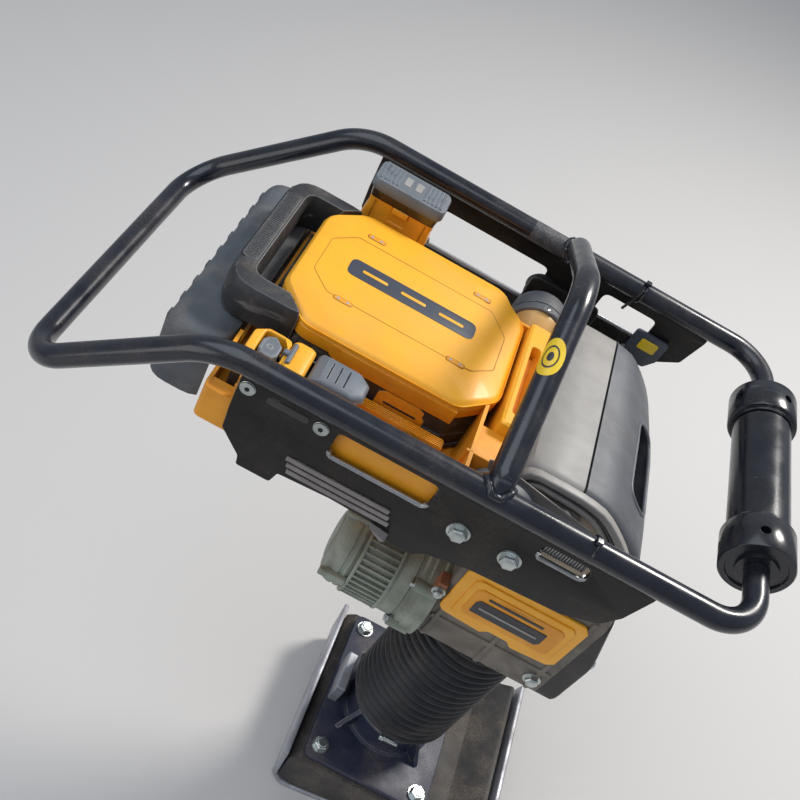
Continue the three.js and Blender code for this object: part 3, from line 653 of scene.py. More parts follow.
def startTree(name, inputs):
    tree = bpy.data.node_groups.new(name, "GeometryNodeTree")
    tree.interface.new_socket("Geometry", in_out="INPUT", socket_type="NodeSocketGeometry")
    for socketName, kind, value in inputs:
        socket = tree.interface.new_socket(socketName, in_out="INPUT", socket_type=kind)
        if value is not None:
            socket.default_value = value
    tree.interface.new_socket("Geometry", in_out="OUTPUT", socket_type="NodeSocketGeometry")
    return tree, tree.nodes.new("NodeGroupInput"), tree.nodes.new("NodeGroupOutput")


def endTree(tree, given, result, geometry):
    solid = tree.nodes.new("GeometryNodeRealizeInstances")
    paint = tree.nodes.new("GeometryNodeSetMaterial")
    tree.links.new(geometry, solid.inputs[0])
    tree.links.new(solid.outputs[0], paint.inputs["Geometry"])
    tree.links.new(given.outputs["Material"], paint.inputs["Material"])
    tree.links.new(paint.outputs[0], result.inputs[0])
    return tree


def buildFixingTree():
    # stands a hexagon or round headed fixing, with its washer, on every point of the given mesh
    tree, given, result = startTree("fixings", [("Head Radius", "NodeSocketFloat", 0.009),
        ("Head Height", "NodeSocketFloat", 0.006), ("Sides", "NodeSocketInt", 6),
        ("Washer Radius", "NodeSocketFloat", 0.012), ("Washer Height", "NodeSocketFloat", 0.0016),
        ("Crown", "NodeSocketFloat", 0.8), ("Turn", "NodeSocketVector", (0.0, 0.0, 0.0)),
        ("Material", "NodeSocketMaterial", None)])
    nodes, links = tree.nodes, tree.links

    def disc(sides, radius, radiusTop, depth, lift):
        cone = nodes.new("GeometryNodeMeshCone")
        if isinstance(sides, int):
            cone.inputs["Vertices"].default_value = sides
        else:
            links.new(sides, cone.inputs["Vertices"])
        links.new(radius, cone.inputs["Radius Bottom"])
        links.new(radiusTop, cone.inputs["Radius Top"])
        links.new(depth, cone.inputs["Depth"])
        move = nodes.new("GeometryNodeTransform")
        place = nodes.new("ShaderNodeCombineXYZ")
        links.new(lift, place.inputs[2])
        links.new(cone.outputs[0], move.inputs[0])
        links.new(place.outputs[0], move.inputs["Translation"])
        return move.outputs[0]

    head = given.outputs
    washer = disc(28, head["Washer Radius"], mathNode(tree, "SUBTRACT", head["Washer Radius"], 0.0004),
        head["Washer Height"], mathNode(tree, "MULTIPLY", head["Washer Height"], 0.0))
    chamfer = mathNode(tree, "MULTIPLY", head["Head Radius"], 0.86)
    shank = disc(head["Sides"], head["Head Radius"], head["Head Radius"], mathNode(tree, "MULTIPLY",
        head["Head Height"], 0.8), head["Washer Height"])
    top = disc(head["Sides"], head["Head Radius"], chamfer, mathNode(tree, "MULTIPLY", head["Head Height"], 0.2),
        mathNode(tree, "ADD", head["Washer Height"], mathNode(tree, "MULTIPLY", head["Head Height"], 0.8)))
    crown = disc(24, mathNode(tree, "MULTIPLY", chamfer, head["Crown"]), mathNode(tree, "MULTIPLY",
        mathNode(tree, "MULTIPLY", chamfer, head["Crown"]), 0.8), mathNode(tree, "MULTIPLY", head["Head Height"],
        0.12), mathNode(tree, "ADD", head["Washer Height"], head["Head Height"]))
    join = nodes.new("GeometryNodeJoinGeometry")
    for piece in (crown, top, shank, washer):
        links.new(piece, join.inputs[0])
    points = nodes.new("GeometryNodeMeshToPoints")
    links.new(head["Geometry"], points.inputs[0])
    copies = nodes.new("GeometryNodeInstanceOnPoints")
    links.new(points.outputs[0], copies.inputs["Points"])
    links.new(join.outputs[0], copies.inputs["Instance"])
    links.new(head["Turn"], copies.inputs["Rotation"])
    return endTree(tree, given, result, copies.outputs[0])


def buildArrayTree():
    # repeats a bar round an axis through the origin, or along a line
    tree, given, result = startTree("repeats", [("Count", "NodeSocketInt", 12),
        ("Size", "NodeSocketVector", (0.01, 0.002, 0.01)), ("Offset", "NodeSocketVector", (0.0, 0.0, 0.0)),
        ("Step", "NodeSocketVector", (0.0, 0.0, 0.0)), ("Step Turn", "NodeSocketVector", (0.0, 0.0, 0.0)),
        ("Material", "NodeSocketMaterial", None)])
    nodes, links = tree.nodes, tree.links
    line = nodes.new("GeometryNodeMeshLine")
    links.new(given.outputs["Count"], line.inputs["Count"])
    links.new(given.outputs["Step"], line.inputs["Offset"])
    bar = nodes.new("GeometryNodeMeshCube")
    links.new(given.outputs["Size"], bar.inputs["Size"])
    shift = nodes.new("GeometryNodeTransform")
    links.new(bar.outputs["Mesh"], shift.inputs[0])
    links.new(given.outputs["Offset"], shift.inputs["Translation"])
    index = nodes.new("GeometryNodeInputIndex")
    turn = nodes.new("ShaderNodeVectorMath")
    turn.operation = "SCALE"
    links.new(given.outputs["Step Turn"], turn.inputs[0])
    links.new(index.outputs[0], turn.inputs["Scale"])
    copies = nodes.new("GeometryNodeInstanceOnPoints")
    links.new(line.outputs[0], copies.inputs["Points"])
    links.new(shift.outputs[0], copies.inputs["Instance"])
    links.new(turn.outputs[0], copies.inputs["Rotation"])
    return endTree(tree, given, result, copies.outputs[0])


trees = {"fixings": buildFixingTree(), "repeats": buildArrayTree()}


def grow(name, treeName, material, points=None, at=None, **values):
    # runs a tree on its own small mesh, keeps the plain result and moves it to a place given in metres
    mesh = bpy.data.meshes.new(name)
    mesh.from_pydata([Vector(p) / 1000 for p in (points or [(0, 0, 0)])], [], [])
    item = bpy.data.objects.new(name, mesh)
    scene.collection.objects.link(item)
    modifier = item.modifiers.new("grow", "NODES")
    modifier.node_group = trees[treeName]
    sockets = {s.name: s.identifier for s in trees[treeName].interface.items_tree if s.in_out == "INPUT"}
    modifier[sockets["Material"]] = finish[material]
    for key, value in values.items():
        modifier[sockets[key.replace("_", " ")]] = value
    graph = bpy.context.evaluated_depsgraph_get()
    grown = bpy.data.meshes.new_from_object(item.evaluated_get(graph))
    bpy.data.objects.remove(item)
    item = bpy.data.objects.new(name, grown)
    scene.collection.objects.link(item)
    smoothByAngle(item, 30)
    if at:
        item.data.transform(Matrix.Translation(at))
    return item


def fixings(name, points, facing, material="zinc", head=9.5, height=6.0, sides=6, washer=12.5, washerHeight=1.6,
            crown=0.8, spin=0.0):
    turn = {"nearSide": (math.radians(90), 0, 0), "farSide": (math.radians(-90), 0, 0), "up": (0, 0, 0),
        "front": (0, math.radians(90), 0), "rear": (0, math.radians(-90), 0), "down": (math.pi, 0, 0)}[facing]
    turn = (Matrix.Rotation(turn[1], 3, "Y") @ Matrix.Rotation(turn[0], 3, "X") @ Matrix.Rotation(spin, 3,
        "Z")).to_euler()
    return grow(name, "fixings", material, points, Head_Radius=head / 1000, Head_Height=height / 1000, Sides=sides,
        Washer_Radius=washer / 1000, Washer_Height=washerHeight / 1000, Crown=crown, Turn=tuple(turn))


print("stage: node trees built")


# handle loop and lifting bar

loopPiece = {"radius": 12.7, "railY": 213, "frontX": 562, "rear": (-177, 198, -165), "steps": 16, "sides": 56}
rearX, rearY, rearZ = loopPiece["rear"]
loopCorners = [(loopPiece["frontX"], -loopPiece["railY"], 0, 48), (loopPiece["frontX"], loopPiece["railY"], 0, 48),
    (0, loopPiece["railY"], 0, 90), (rearX, rearY, rearZ, 55), (rearX, -rearY, rearZ, 55),
    (0, -loopPiece["railY"], 0, 90)]
handleLoop = tube("handleLoop", bentPath(loopCorners, True, loopPiece["steps"]), loopPiece["radius"], True,
    loopPiece["sides"], "tubePaint")
settle(handleLoop, "machine", "black_steel", "handle_tube")

barPiece = {"radius": 14, "x": 282, "farX": 289, "foot": 212, "apex": (8, 102.7), "apexBend": 90,
    "shoulder": (202, 15.6), "sides": 40}
shoulderY, shoulderZ = barPiece["shoulder"]


def barPath():
    x, farX, foot = barPiece["x"], barPiece["farX"], barPiece["foot"]
    corners = [(x, -foot, 1, 0), (x, -shoulderY, shoulderZ, 14), (x, *barPiece["apex"], barPiece["apexBend"]),
        (farX, shoulderY, shoulderZ, 14), (farX, foot, 1, 0)]
    return bentPath(corners, False, 12)


barLine = barPath()
barRadii = [barPiece["radius"] - max(0, 1.2 - 0.1 * min(i, len(barLine) - 1 - i)) for i in range(len(barLine))]
liftingBar = tube("liftingBarTube", barLine, barPiece["radius"], False, barPiece["sides"], "tubePaint", barRadii)


def weldLine(sign, radius, rough, seed):
    # the bead that runs round the foot of the bar where it meets the rail
    x = barPiece["x"] if sign < 0 else barPiece["farX"]
    start = Vector((x, sign * barPiece["foot"], 1))
    along = (Vector((x, sign * shoulderY, shoulderZ)) - start).normalized()
    side = Vector((1, 0, 0))
    across = along.cross(side)
    path = []
    for step in range(64):
        angle = 2 * math.pi * step / 64
        ring = start + side * math.cos(angle) * barPiece["radius"] + across * math.sin(angle) * barPiece["radius"]
        y = ring.y - sign * loopPiece["railY"]
        a = along.y ** 2 + along.z ** 2
        b = 2 * (y * along.y + ring.z * along.z)
        c = y * y + ring.z ** 2 - (loopPiece["radius"] + 0.4) ** 2
        inside = b * b - 4 * a * c
        reach = (-b + math.sqrt(inside)) / (2 * a) if inside > 0 else -b / (2 * a) + 2
        bead = ring + along * reach
        bead.y = sign * min(abs(bead.y), 225.8 - radius - rough * 2)
        path.append(bead)
    radii = [radius + rough * (math.sin(step * 2.4 + seed) + math.sin(step * 1.31 + seed * 2)) for step in range(64)]
    return tube("weldBead", path, radius, True, 12, "tubePaint", radii)


wornSleeve = turned("wornSleeve", [(12.72, 230), (12.85, 231), (12.95, 240), (12.85, 262), (12.95, 274),
    (12.72, 277)], "x", (0, 213, 0), 48, "wornPaint", closed=False)
liftingBar = joinInto("liftingBar", [liftingBar, weldLine(-1, 3.7, 0.16, 0.3), weldLine(1, 3.6, 0.6, 1.9),
    wornSleeve])
settle(liftingBar, "machine", "black_steel", "lifting_bar")

tiePiece = {"x": 386, "y": 211.7, "ring": 12.8, "tall": 13.9, "wire": 1.4}


def railTie(name, sign):
    ring = [(tiePiece["x"] + 1.5 * math.sin(a * math.pi / 16),
        sign * tiePiece["y"] + math.cos(a * math.pi / 16) * tiePiece["ring"],
        math.sin(a * math.pi / 16) * tiePiece["tall"]) for a in range(32)]
    parts = [tube(name + "Ring", ring, tiePiece["wire"], True, 10, "tubePaint"),
        block(name + "Lock", tiePiece["x"] - 3.5, tiePiece["x"] + 3.5, sign * 213 - 5, sign * 213 + 2, 12.5, 17.5,
        1.0, "tubePaint")]
    if sign > 0:
        tail = [(tiePiece["x"] - 2, 203, 9), (tiePiece["x"] - 4, 200, 0), (tiePiece["x"] - 6, 204, -14),
            (tiePiece["x"] - 9, 206, -30)]
        parts.append(tube(name + "Tail", bentPath([p + (5,) for p in tail], False, 4), 1.8, False, 8, "caseBlack"))
    return settle(joinInto(name, parts), "machine", "rubber")


railTie("railTieNear", -1)
railTie("railTieFar", 1)

stickerPiece = {"y": -84, "spanY": 22, "spanTurn": 1.0, "centreTurn": 0.62}


def barSticker():
    # a plain round disc wrapped over the bar, with a dark ring and a plain dot
    a = Vector((barPiece["x"], -shoulderY, shoulderZ))
    b = Vector((barPiece["x"], *barPiece["apex"]))
    along = (b - a).normalized()
    centre = a + along * ((stickerPiece["y"] - a.y) / along.y)
    up = Vector((1, 0, 0)).cross(along).normalized()
    items = []
    for name, inner, outer, lift, material in (("discFace", 0.0, 1.0, 0.25, "stickerYellow"),
                                               ("discRing", 0.50, 0.60, 0.34, "labelBlack"),
                                               ("discDot", 0.0, 0.24, 0.34, "labelBlack")):
        vertices, faces = [], []
        radial, turns = 6, 48
        for j in range(radial + 1):
            share = inner + (outer - inner) * j / radial
            for k in range(turns):
                t = 2 * math.pi * k / turns
                alongBy = share * math.cos(t) * stickerPiece["spanY"]
                turn = share * math.sin(t) * stickerPiece["spanTurn"] + stickerPiece["centreTurn"]
                radius = barPiece["radius"] + lift
                vertices.append(centre + along * alongBy + (up * math.cos(turn) + Vector((1, 0,
                    0)) * -math.sin(turn)) * radius)
        for j in range(radial):
            for k in range(turns):
                m = (k + 1) % turns
                faces.append((j * turns + k, (j + 1) * turns + k, (j + 1) * turns + m, j * turns + m))
        item = newMesh(name, vertices, faces, material, True)
        cleanMesh(item, 1e-8, recalc=False)
        items.append(item)
    return settle(joinInto("barDisc", items), "machine", "yellow_paint")


barSticker()
print("stage: handle and bar")


# side plates

platePiece = {"edge": 1.0, "corner": 7, "thick": 5, "y": 213}
nearOutline = [(30, -10, 0), (31, -60), (33, -92), (58, -119), (60, -132, 3), (97, -132, 4), (101, -115, 3),
    (157, -111), (202, -113), (229, -128), (254, -128), (266, -117), (311, -106), (411, -100), (447, -86)]


def plateBody(name, near):
    front = 467 if near else 490
    outline = roundOutline(nearOutline + [(front - 8, -62), (front, -20, 3), (front, -10, 0)], platePiece["corner"])
    if near:
        holes = [rectangle(132, 238, -56, -22, 7), rectangle(350, 402, -42, -22, 8)]
    else:
        holes = [rectangle(125, 275, -92, -36, 9), rectangle(350, 425, -60, -26, 9)]
    low = -platePiece["y"] - platePiece["thick"] / 2 if near else platePiece["y"] - platePiece["thick"] / 2
    return slab(name, [outline] + holes, low, low + platePiece["thick"], "side", platePiece["edge"], "platePaint")


def windowLip(name, x0, x1, z, y, radius, reach, material, lift=7):
    # the rolled lower edge of a window
    path = [(x0, y, z + lift), (x0, y, z + 3), (x0 + 3, y, z), (x1 - 3, y, z), (x1, y, z + 3), (x1, y, z + lift)]
    return tube(name, bentPath([p + (reach,) for p in path], False, 4), radius, False, 14, material)


nearParts = [plateBody("nearPlateBody", True), windowLip("lipNearLong", 133, 237, -56.5, -214.5, 2.6, 3, "bareSteel"),
    windowLip("lipNearShort", 351, 401, -42.5, -214.5, 2.4, 3, "bareSteel")]
# the small bent tab under the plate
nearParts.append(loft("nearTab", [[(203, -214, -112), (225, -214, -116), (221, -211.5, -121), (203, -211.5, -114)],
    [(205, -222, -114), (224, -224, -119), (221, -222.5, -124), (205, -219.5, -116)]], "plateGrey", 20))
# three plain raised bars
for index, z in enumerate((-86, -94.5, -103)):
    nearParts.append(block(f"nearBar{index}", 101 + index * 3, 213 + index * 3, -217.6, -215.2, z - 2.8, z + 2.8, 0.7,
        "plateGrey"))
nearParts.append(slab("nearPatch", [rectangle(60, 103, -32, -23, 4)], -216.1, -215.2, "side", 0.3, "patchBlack"))
nearParts.append(tube("nearSeam", [(34 + 7 * i, -215.6 + 0.3 * math.sin(i * 1.7), -9.4) for i in range(61)], 2.2,
    False, 10, "tubePaint"))
settle(joinInto("nearSidePlate", nearParts), "machine", "black_steel", "side_plate_near")

farParts = [plateBody("farPlateBody", False), windowLip("lipFarLong", 126, 274, -92.5, 212, 2.6, 4, "bareSteel"),
    windowLip("lipFarShort", 351, 424, -60.5, 212, 2.4, 4, "bareSteel")]
labelPlate = slab("bracketPlate", [roundOutline([(410, -44), (456, -44), (456, -76), (446, -92), (420, -92),
    (410, -76)], 5)], 204.5, 209.5, "side", 1.0, "inkGrey")
farParts += [labelPlate, slab("bracketPanel", [rectangle(422, 446, -68, -52, 3)], 203.4, 204.9, "side", 0.4,
    "stickerYellow"), tube("farSeam", [(34 + 7 * i, 210.4 + 0.3 * math.sin(i * 1.9), -9.4) for i in range(63)], 2.2,
    False, 10, "tubePaint")]
settle(joinInto("farSidePlate", farParts), "machine", "black_steel", "side_plate_far")

boltPiece = {"x": (278, 334), "z": -63, "plateScrews": ((40, -27), (116, -28))}
mountBolts = [fixings("boltsNear", [(x, -215.7, boltPiece["z"]) for x in boltPiece["x"]], "nearSide", spin=0.3),
    fixings("boltsFar", [(x, 215.7, boltPiece["z"]) for x in boltPiece["x"]], "farSide", spin=0.2)]
settle(joinInto("mountBolts", mountBolts), "machine", "zinc", "mount_bolt_1", "mount_bolt_2", "mount_bolt_3",
    "mount_bolt_4")

screws = fixings("plateScrewHeads", [(x, -215.6, z) for x, z in boltPiece["plateScrews"]], "nearSide", head=7.6,
    height=1.6, sides=28, washer=8.0, washerHeight=0.3, crown=0.0)
# painted shade: a thin black disc on each screw head stands in for the shade in its socket
sockets = [turned("screwSocketShade", [(0, 0), (2.6, 0), (2.6, 0.5), (0, 0.5)], "y", (x, -218, z), 6, "paintedShadeBlack") for x,
    z in boltPiece["plateScrews"]]
farScrews = fixings("farScrewHeads", [(413, 209.9, -87)], "nearSide", head=7.5, height=5, washer=10)
settle(joinInto("plateScrews", [screws, farScrews] + sockets), "machine", "zinc")

# a strap's webbing shows through the short near window
strapPiece = {"x": (352, 400), "ribs": 15}
strap = [block("strapBand", strapPiece["x"][0], strapPiece["x"][1], -208, -200, -41, -23, 3, "caseBlack"),
    grow("strapRibs", "repeats", "bareSteel", at=(0.355, -0.2075, -0.032), Count=strapPiece["ribs"],
    Size=(0.0014, 0.004, 0.013), Step=(0.003, 0, 0))]
settle(joinInto("strapEnd", strap), "machine", "rubber")
print("stage: side plates")


# front roller

rollerPiece = {"x": 562, "half": 80, "radius": 32, "bore": 13.1}
half, radius, bore = rollerPiece["half"], rollerPiece["radius"], rollerPiece["bore"]
sleeve = turned("rollerSleeve", [(bore, -half), (radius - 1.5, -half), (radius, 1.5 - half), (radius, half - 1.5),
    (radius - 1.5, half), (bore, half)], "y", (rollerPiece["x"], 0, 0), 72, "rollerBlack", angle=40)
settle(sleeve, "roller", "dark_plastic", "roller_sleeve")


def collar(name, sign, node, turnHoles):
    inner, outer = 81.2, 131
    profile = [(13, inner), (33.4, inner), (34.4, inner + 1), (34.4, inner + 4), (37, inner + 4.6), (37.9, inner + 6),
        (37.9, outer - 3.2), (36.6, outer - 1.6), (31, outer - 1.6), (30, outer - 4), (22, outer - 4), (21, outer),
        (13, outer)]
    if sign < 0:
        profile = [(r, -d) for r, d in reversed(profile)]
    body = turned(name, profile, "y", (rollerPiece["x"], 0, 0), 72, "rollerBlack", angle=40)

    def outward(item, turn):
        # stands a piece turned about z out from the middle of the collar
        way = Vector((math.cos(turn), 0, math.sin(turn)))
        item.data.transform(Matrix.Translation((rollerPiece["x"] / 1000, sign * 0.109, 0)) @ way.to_track_quat("Z",
            "Y").to_matrix().to_4x4())
        return item

    holes = [outward(turned("collarHole", [(0, 26), (5.2, 26), (5.2, 45), (0, 45)], "z", (0, 0, 0), 24, "paintedShadeBlack"),
        turnHoles + k * math.pi / 2) for k in range(4)]
    carve(body, *holes)
    smoothByAngle(body, 40)
    plugProfile = [(0, 27), (4.4, 27), (4.4, 32.5), (3.4, 33.4), (1.8, 33.4), (1.8, 31.5), (0, 31.5)]
    screwParts = [body] + [outward(turned("collarScrew", plugProfile, "z", (0, 0, 0), 20, "zinc"),
        turn) for turn in (turnHoles, turnHoles + math.pi)]
    return settle(joinInto(name + "Piece", screwParts), "machine", "dark_plastic", node)


collar("collarNear", -1, "roller_collar_near", 0.42)
collar("collarFar", 1, "roller_collar_far", -0.21)
print("stage: roller")


# battery

coverPiece = {"x": (13, 266.5), "y": (-105, 104), "corner": 38, "round": 26, "facetX": 222, "facetY": -72, "top": -16}


def coverTop(x, y):
    # the flat top falls away in broad facets at the front and along the near side
    return coverPiece["top"] - max(0.0, (x - coverPiece["facetX"]) * 0.19, (coverPiece["facetY"] - y) * 0.19,
        (y - 78) * 0.13, (34 - x) * 0.1)


def coverRing(inset, z, steps=4):
    x0, x1 = coverPiece["x"]
    y0, y1 = coverPiece["y"]
    outline = octagon(x0 + inset, x1 - inset, y0 + inset, y1 - inset, coverPiece["corner"] - inset * 0.4,
        coverPiece["round"], steps)
    return ringAt(outline, z)


def boundary(x0, x1, y0, y1, corner, rounding, z, steps=4):
    return ringAt(octagon(x0, x1, y0, y1, corner, rounding, steps), z)


def coverBody():
    rings = [coverRing(4, -44.0), coverRing(1.2, -44.7), coverRing(0.6, -43.0), coverRing(0.4, -30.5),
        coverRing(1.2, -29.6), coverRing(1.2, -28.8), coverRing(0, -28.0), coverRing(0, -24.6)]
    for inset, drop in ((1.4, 3.4), (3.6, 1.2), (6.6, 0.2)):
        rings.append(coverRing(inset, lambda x, y: coverTop(x, y) - drop))
    rings.append(boundary(31, 222, -72, 78, 30, 6, coverTop))
    return loft("coverBody", rings, "yellowCover", 22)


def grooveShadeLine(name, outline, width, z, material):
    # a thin dark line that follows a closed outline on the cover, painted shade of a groove
    points = [Vector((p[0], p[1], z(p[0], p[1]) if callable(z) else z)) for p in outline]
    return tube(name, points, width, True, 6, material)


cover = coverBody()
panelLine = octagon(32, 248, -56, 50, 24, 9, 4)


def denser(outline, gap=4.0):
    result = []
    for index, point in enumerate(outline):
        following = outline[(index + 1) % len(outline)]
        count = max(1, int((following - point).length / gap))
        result += [point.lerp(following, k / count) for k in range(count)]
    return result


coverParts = [cover, grooveShadeLine("coverLine", denser(panelLine), 0.42, lambda x, y: coverTop(x, y) - 0.12, "coverShade")]
for index, (x, y) in enumerate(((74, 62), (207, 64), (75, -57), (206, -56))):
    base = coverTop(x, y)
    hollow = slab(f"dimple{index}", [rectangle(x - 11, x + 11, y - 3.6, y + 3.6, 3.6)], base - 0.6, base + 0.35,
        "top", 0.3, "coverShade")
    inner = slab(f"dimpleFloor{index}", [rectangle(x - 10, x + 10, y - 2.8, y + 2.8, 2.8)], base - 0.5, base + 0.5,
        "top", 0.2, "yellowTray")
    coverParts += [hollow, inner]
    for shift in (-5.5, 5.5):
        coverParts.append(turned("dimpleDot", [(0, base), (1.5, base), (1.5, base + 0.8), (0, base + 0.9)], "z",
            (x + shift, y, 0), 14, "pinGrey"))
# a plain dark strip with three yellow dashes
coverParts.append(slab("coverStrip", [rectangle(62, 214, -13, 15, 9)], -16.3, -15.65, "top", 0.15, "inkGrey"))
for x in (78, 124, 170):
    coverParts.append(slab("coverDash", [rectangle(x, x + 30, -1.2, 3.2, 2)], -15.9, -15.45, "top", 0.1,
        "yellowCover"))
settle(joinInto("batteryCoverTop", coverParts), "battery", "yellow_paint", "battery_cover")


def skirtPart():
    # the deep orange lower edge on the near side, stepped down behind the controls
    return [slab("nearSkirt", [[Vector(p) for p in ((96, -105.6), (230, -105.6), (230, -100), (96, -100))]], -50.5,
        -31.5, "top", 0.8, "yellowTray"), loft("stepFace", [[(88, -105.9, -44), (98, -105.9, -50), (98, -99, -50),
        (88, -99, -44)], [(88, -105.9, -31), (98, -105.9, -31), (98, -99, -31), (88, -99, -31)]], "yellowTray", 20)]


settle(joinInto("batterySkirt", skirtPart()), "battery", "yellow_paint")

caseRings = []
for inset, z in ((5, -98.4), (1.5, -97.6), (0.4, -95), (0.4, -74), (1.4, -73), (1.4, -71.5), (0.4, -70.5), (0.4, -53),
        (1.6, -50),
                 (2.6, -45.4)):
    caseRings.append(ringAt(octagon(14 + inset, 265 - inset, -104 + inset, 103 - inset, 36, 10, 4), z))
caseParts = [loft("caseShell", caseRings, "caseBlack", 35)]
caseParts.append(slab("caseLabel", [rectangle(104, 150, -92, -52, 2)], -104.6, -103.4, "side", 0.2, "labelBlack"))
notched = roundOutline([(151, -86), (158, -92), (196, -92), (203, -86), (203, -80), (207, -76), (207, -66),
    (203, -62), (203, -56), (196, -52), (158, -52), (151, -58)], 1.5)
caseParts.append(slab("casePanel", [notched], -105.0, -103.4, "side", 0.3, "yellowTray"))
for index in range(3):
    caseParts.append(slab("caseMark", [rectangle(108, 134 - index * 5, -62 - index * 9, -59 - index * 9, 0.5)],
        -105.0, -104.2, "side", 0.1, "yellowTray"))
caseParts.append(slab("caseBarTop", [rectangle(160, 198, -68.5, -66, 0.4)], -105.4, -104.6, "side", 0.1,
    "labelBlack"))
caseParts.append(slab("caseBarLow", [rectangle(160, 198, -77.5, -75, 0.4)], -105.4, -104.6, "side", 0.1,
    "labelBlack"))
rim = [(p[0], p[1], -94) for p in octagon(14, 265, -104, 103, 36, 12, 6)]
caseParts.append(tube("caseFootRim", rim, 2.6, True, 10, "caseBlack"))
settle(joinInto("batteryCaseBody", caseParts), "battery", "dark_plastic", "battery_case")
cellPieces = []
for row in range(6):
    for column in range(8):
        cellPieces.append((54 + column * 24, -68 + row * 26.4, -91))
cells = grow("cellRows", "fixings", "cellWrap", cellPieces, Head_Radius=0.01, Head_Height=0.034, Sides=20,
    Washer_Radius=0.0101, Washer_Height=0.002, Crown=0.6, Turn=(0, 0, 0))
settle(cells, "battery", "cell_wrap", "battery_cells")


def carryLoop():
    rings = []
    for inset, z in ((5, -63.5), (1.2, -61.5), (0, -57), (0, -30), (1.2, -24), (4.5, -19.6), (9, -18)):
        rings.append(ringAt(rectangle(-40 + inset, 62, -106 + inset, 105 - inset, 34 - inset), z))
    body = loft("carryLoopBody", rings, "gripGrey", 40)
    hole = loft("carryHole", [ringAt(rectangle(-16, 90, -82, 81, 14), -70),
        ringAt(rectangle(-14, 90, -80, 79, 14), -50), ringAt(rectangle(-14, 90, -80, 79, 14), -28),
        ringAt(rectangle(-19, 90, -85, 84, 17), -10)], "gripGrey")
    pack = loft("carryRoom", [ringAt(octagon(12.2, 290, -105.2, 104.2, 36.4, 10, 4), -70),
        ringAt(octagon(12.2, 290, -105.2, 104.2, 36.4, 10, 4), -10)], "gripGrey")
    carve(body, hole, pack)
    cleanMesh(body, 2e-6)
    smoothByAngle(body, 30)
    return body


gripPad = slab("gripPad", [rectangle(-36.5, -19.5, -66, 64, 5)], -18.6, -17.1, "top", 0.6, "gripGrey")
# painted shade: a black line round the grip pad stands in for the shade in the groove around it
gripGrooveShade = grooveShadeLine("gripGrooveShade", denser([Vector(p) for p in rectangle(-37.6, -18.4, -67.2, 65.2, 6)], 8), 0.5, -18.1,
    "paintedShadeBlack")
padDots = grow("padRibs", "repeats", "labelBlack", Count=37, Size=(0.012, 0.0012, 0.0006), Step=(0, 0.0033, 0),
    at=(-0.028, -0.0615, -0.0171))
loopParts = [carryLoop(), gripPad, gripGrooveShade, padDots]
loopParts.append(block("loopFloor", 5.5, 30, -79, 78, -78, -62, 3, "caseBlack"))
slotPlate = slab("loopSlotPlate", [rectangle(6, 26, -72, 70, 3), rectangle(8.5, 13.5, -50, 0, 2)], -62.5, -59, "top",
    0.8, "caseBlack")
loopParts.append(slotPlate)
settle(joinInto("batteryCarryLoop", loopParts), "battery", "grey_plastic", "battery_handle")
print("stage: battery")


# tray and dock

def trayBody():
    body = loft("trayShell", [ringAt(rectangle(0, 258, -208, 158, 8), -104),
        ringAt(rectangle(0, 258, -208, 158, 8), -26)], "yellowTray")
    cuts = [block("trayRoom", 4, 254, -203.5, 153.5, -99, 0, 0), block("trayRear", -5, 28, -119, 200, -80, 0, 0),
        block("trayStep", -5, 28, -212, -118, -60, 0, 0), block("trayFar", 20, 300, 80, 200, -80, 0, 0),
        block("trayFarFront", 250, 300, 70, 200, -98.9, 0, 0)]
    carve(body, *cuts)
    cleanMesh(body, 2e-6)
    front = block("trayFront", 250, 291, -150, 75, -104, -26, 0, "yellowTray")
    carve(front, block("trayFrontRoom", 240, 287, -146.5, 71, -99, 0, 0))
    smoothByAngle(body, 30)
    smoothByAngle(front, 30)
    softenEdges(body, 0.9, 2, 50)
    softenEdges(front, 0.9, 2, 50)
    return [body, front]


trayParts = trayBody()
dock = loft("dockBlock", [ringAt(rectangle(270.5, 298, -104, 70, 5), z) for z in (-100,
    -19)] + [ringAt(rectangle(271.5, 297, -103, 69, 5), -16), ringAt(rectangle(274.5, 294, -100, 66, 4), -14)],
    "yellowCover")
carve(dock, slab("dockRecess", [rectangle(279, 290, -84, 30, 5)], -34, -5, "top", 0.2, "yellowTray"))
smoothByAngle(dock, 30)
softenEdges(dock, 0.8, 2, 50)
trayParts.append(dock)
trayParts.append(slab("dockBar", [rectangle(281.5, 287.5, -78, 24, 3)], -33.5, -27, "top", 1.0, "yellowTray"))
trayParts.append(block("trayFrontCorner", 254.5, 290, -149.5, -102, -100, -30, 3, "yellowTray"))
trayParts.append(block("trayCorner", 1.5, 27, -206.5, -190, -103, -61, 2, "yellowTray"))
# ribs along the tray's near ledge
ledge = block("trayLedge", 100, 236, -121, -108, -101, -72, 1.2, "yellowTray")
trayParts.append(ledge)
ledgeRibs = grow("ledgeRibs", "repeats", "yellowTray", Count=5, Size=(0.132, 0.0016, 0.0016), Step=(0, 0.0026, 0),
    at=(0.168, -0.1198, -0.0715))
trayParts.append(ledgeRibs)
wallRibs = grow("wallRibs", "repeats", "yellowTray", Count=9, Size=(0.0024, 0.0022, 0.052), Step=(0.0255, 0, 0),
    at=(0.028, -0.2024, -0.07))
trayParts.append(wallRibs)
floorRibs = grow("floorRibs", "repeats", "yellowTray", Count=6, Size=(0.22, 0.003, 0.004), Step=(0, 0.0125, 0),
    at=(0.129, -0.196, -0.0975))
trayParts.append(floorRibs)
settle(joinInto("batteryTrayShell", trayParts), "machine", "yellow_paint", "battery_tray")
print("stage: tray and dock")


# controls on the near side

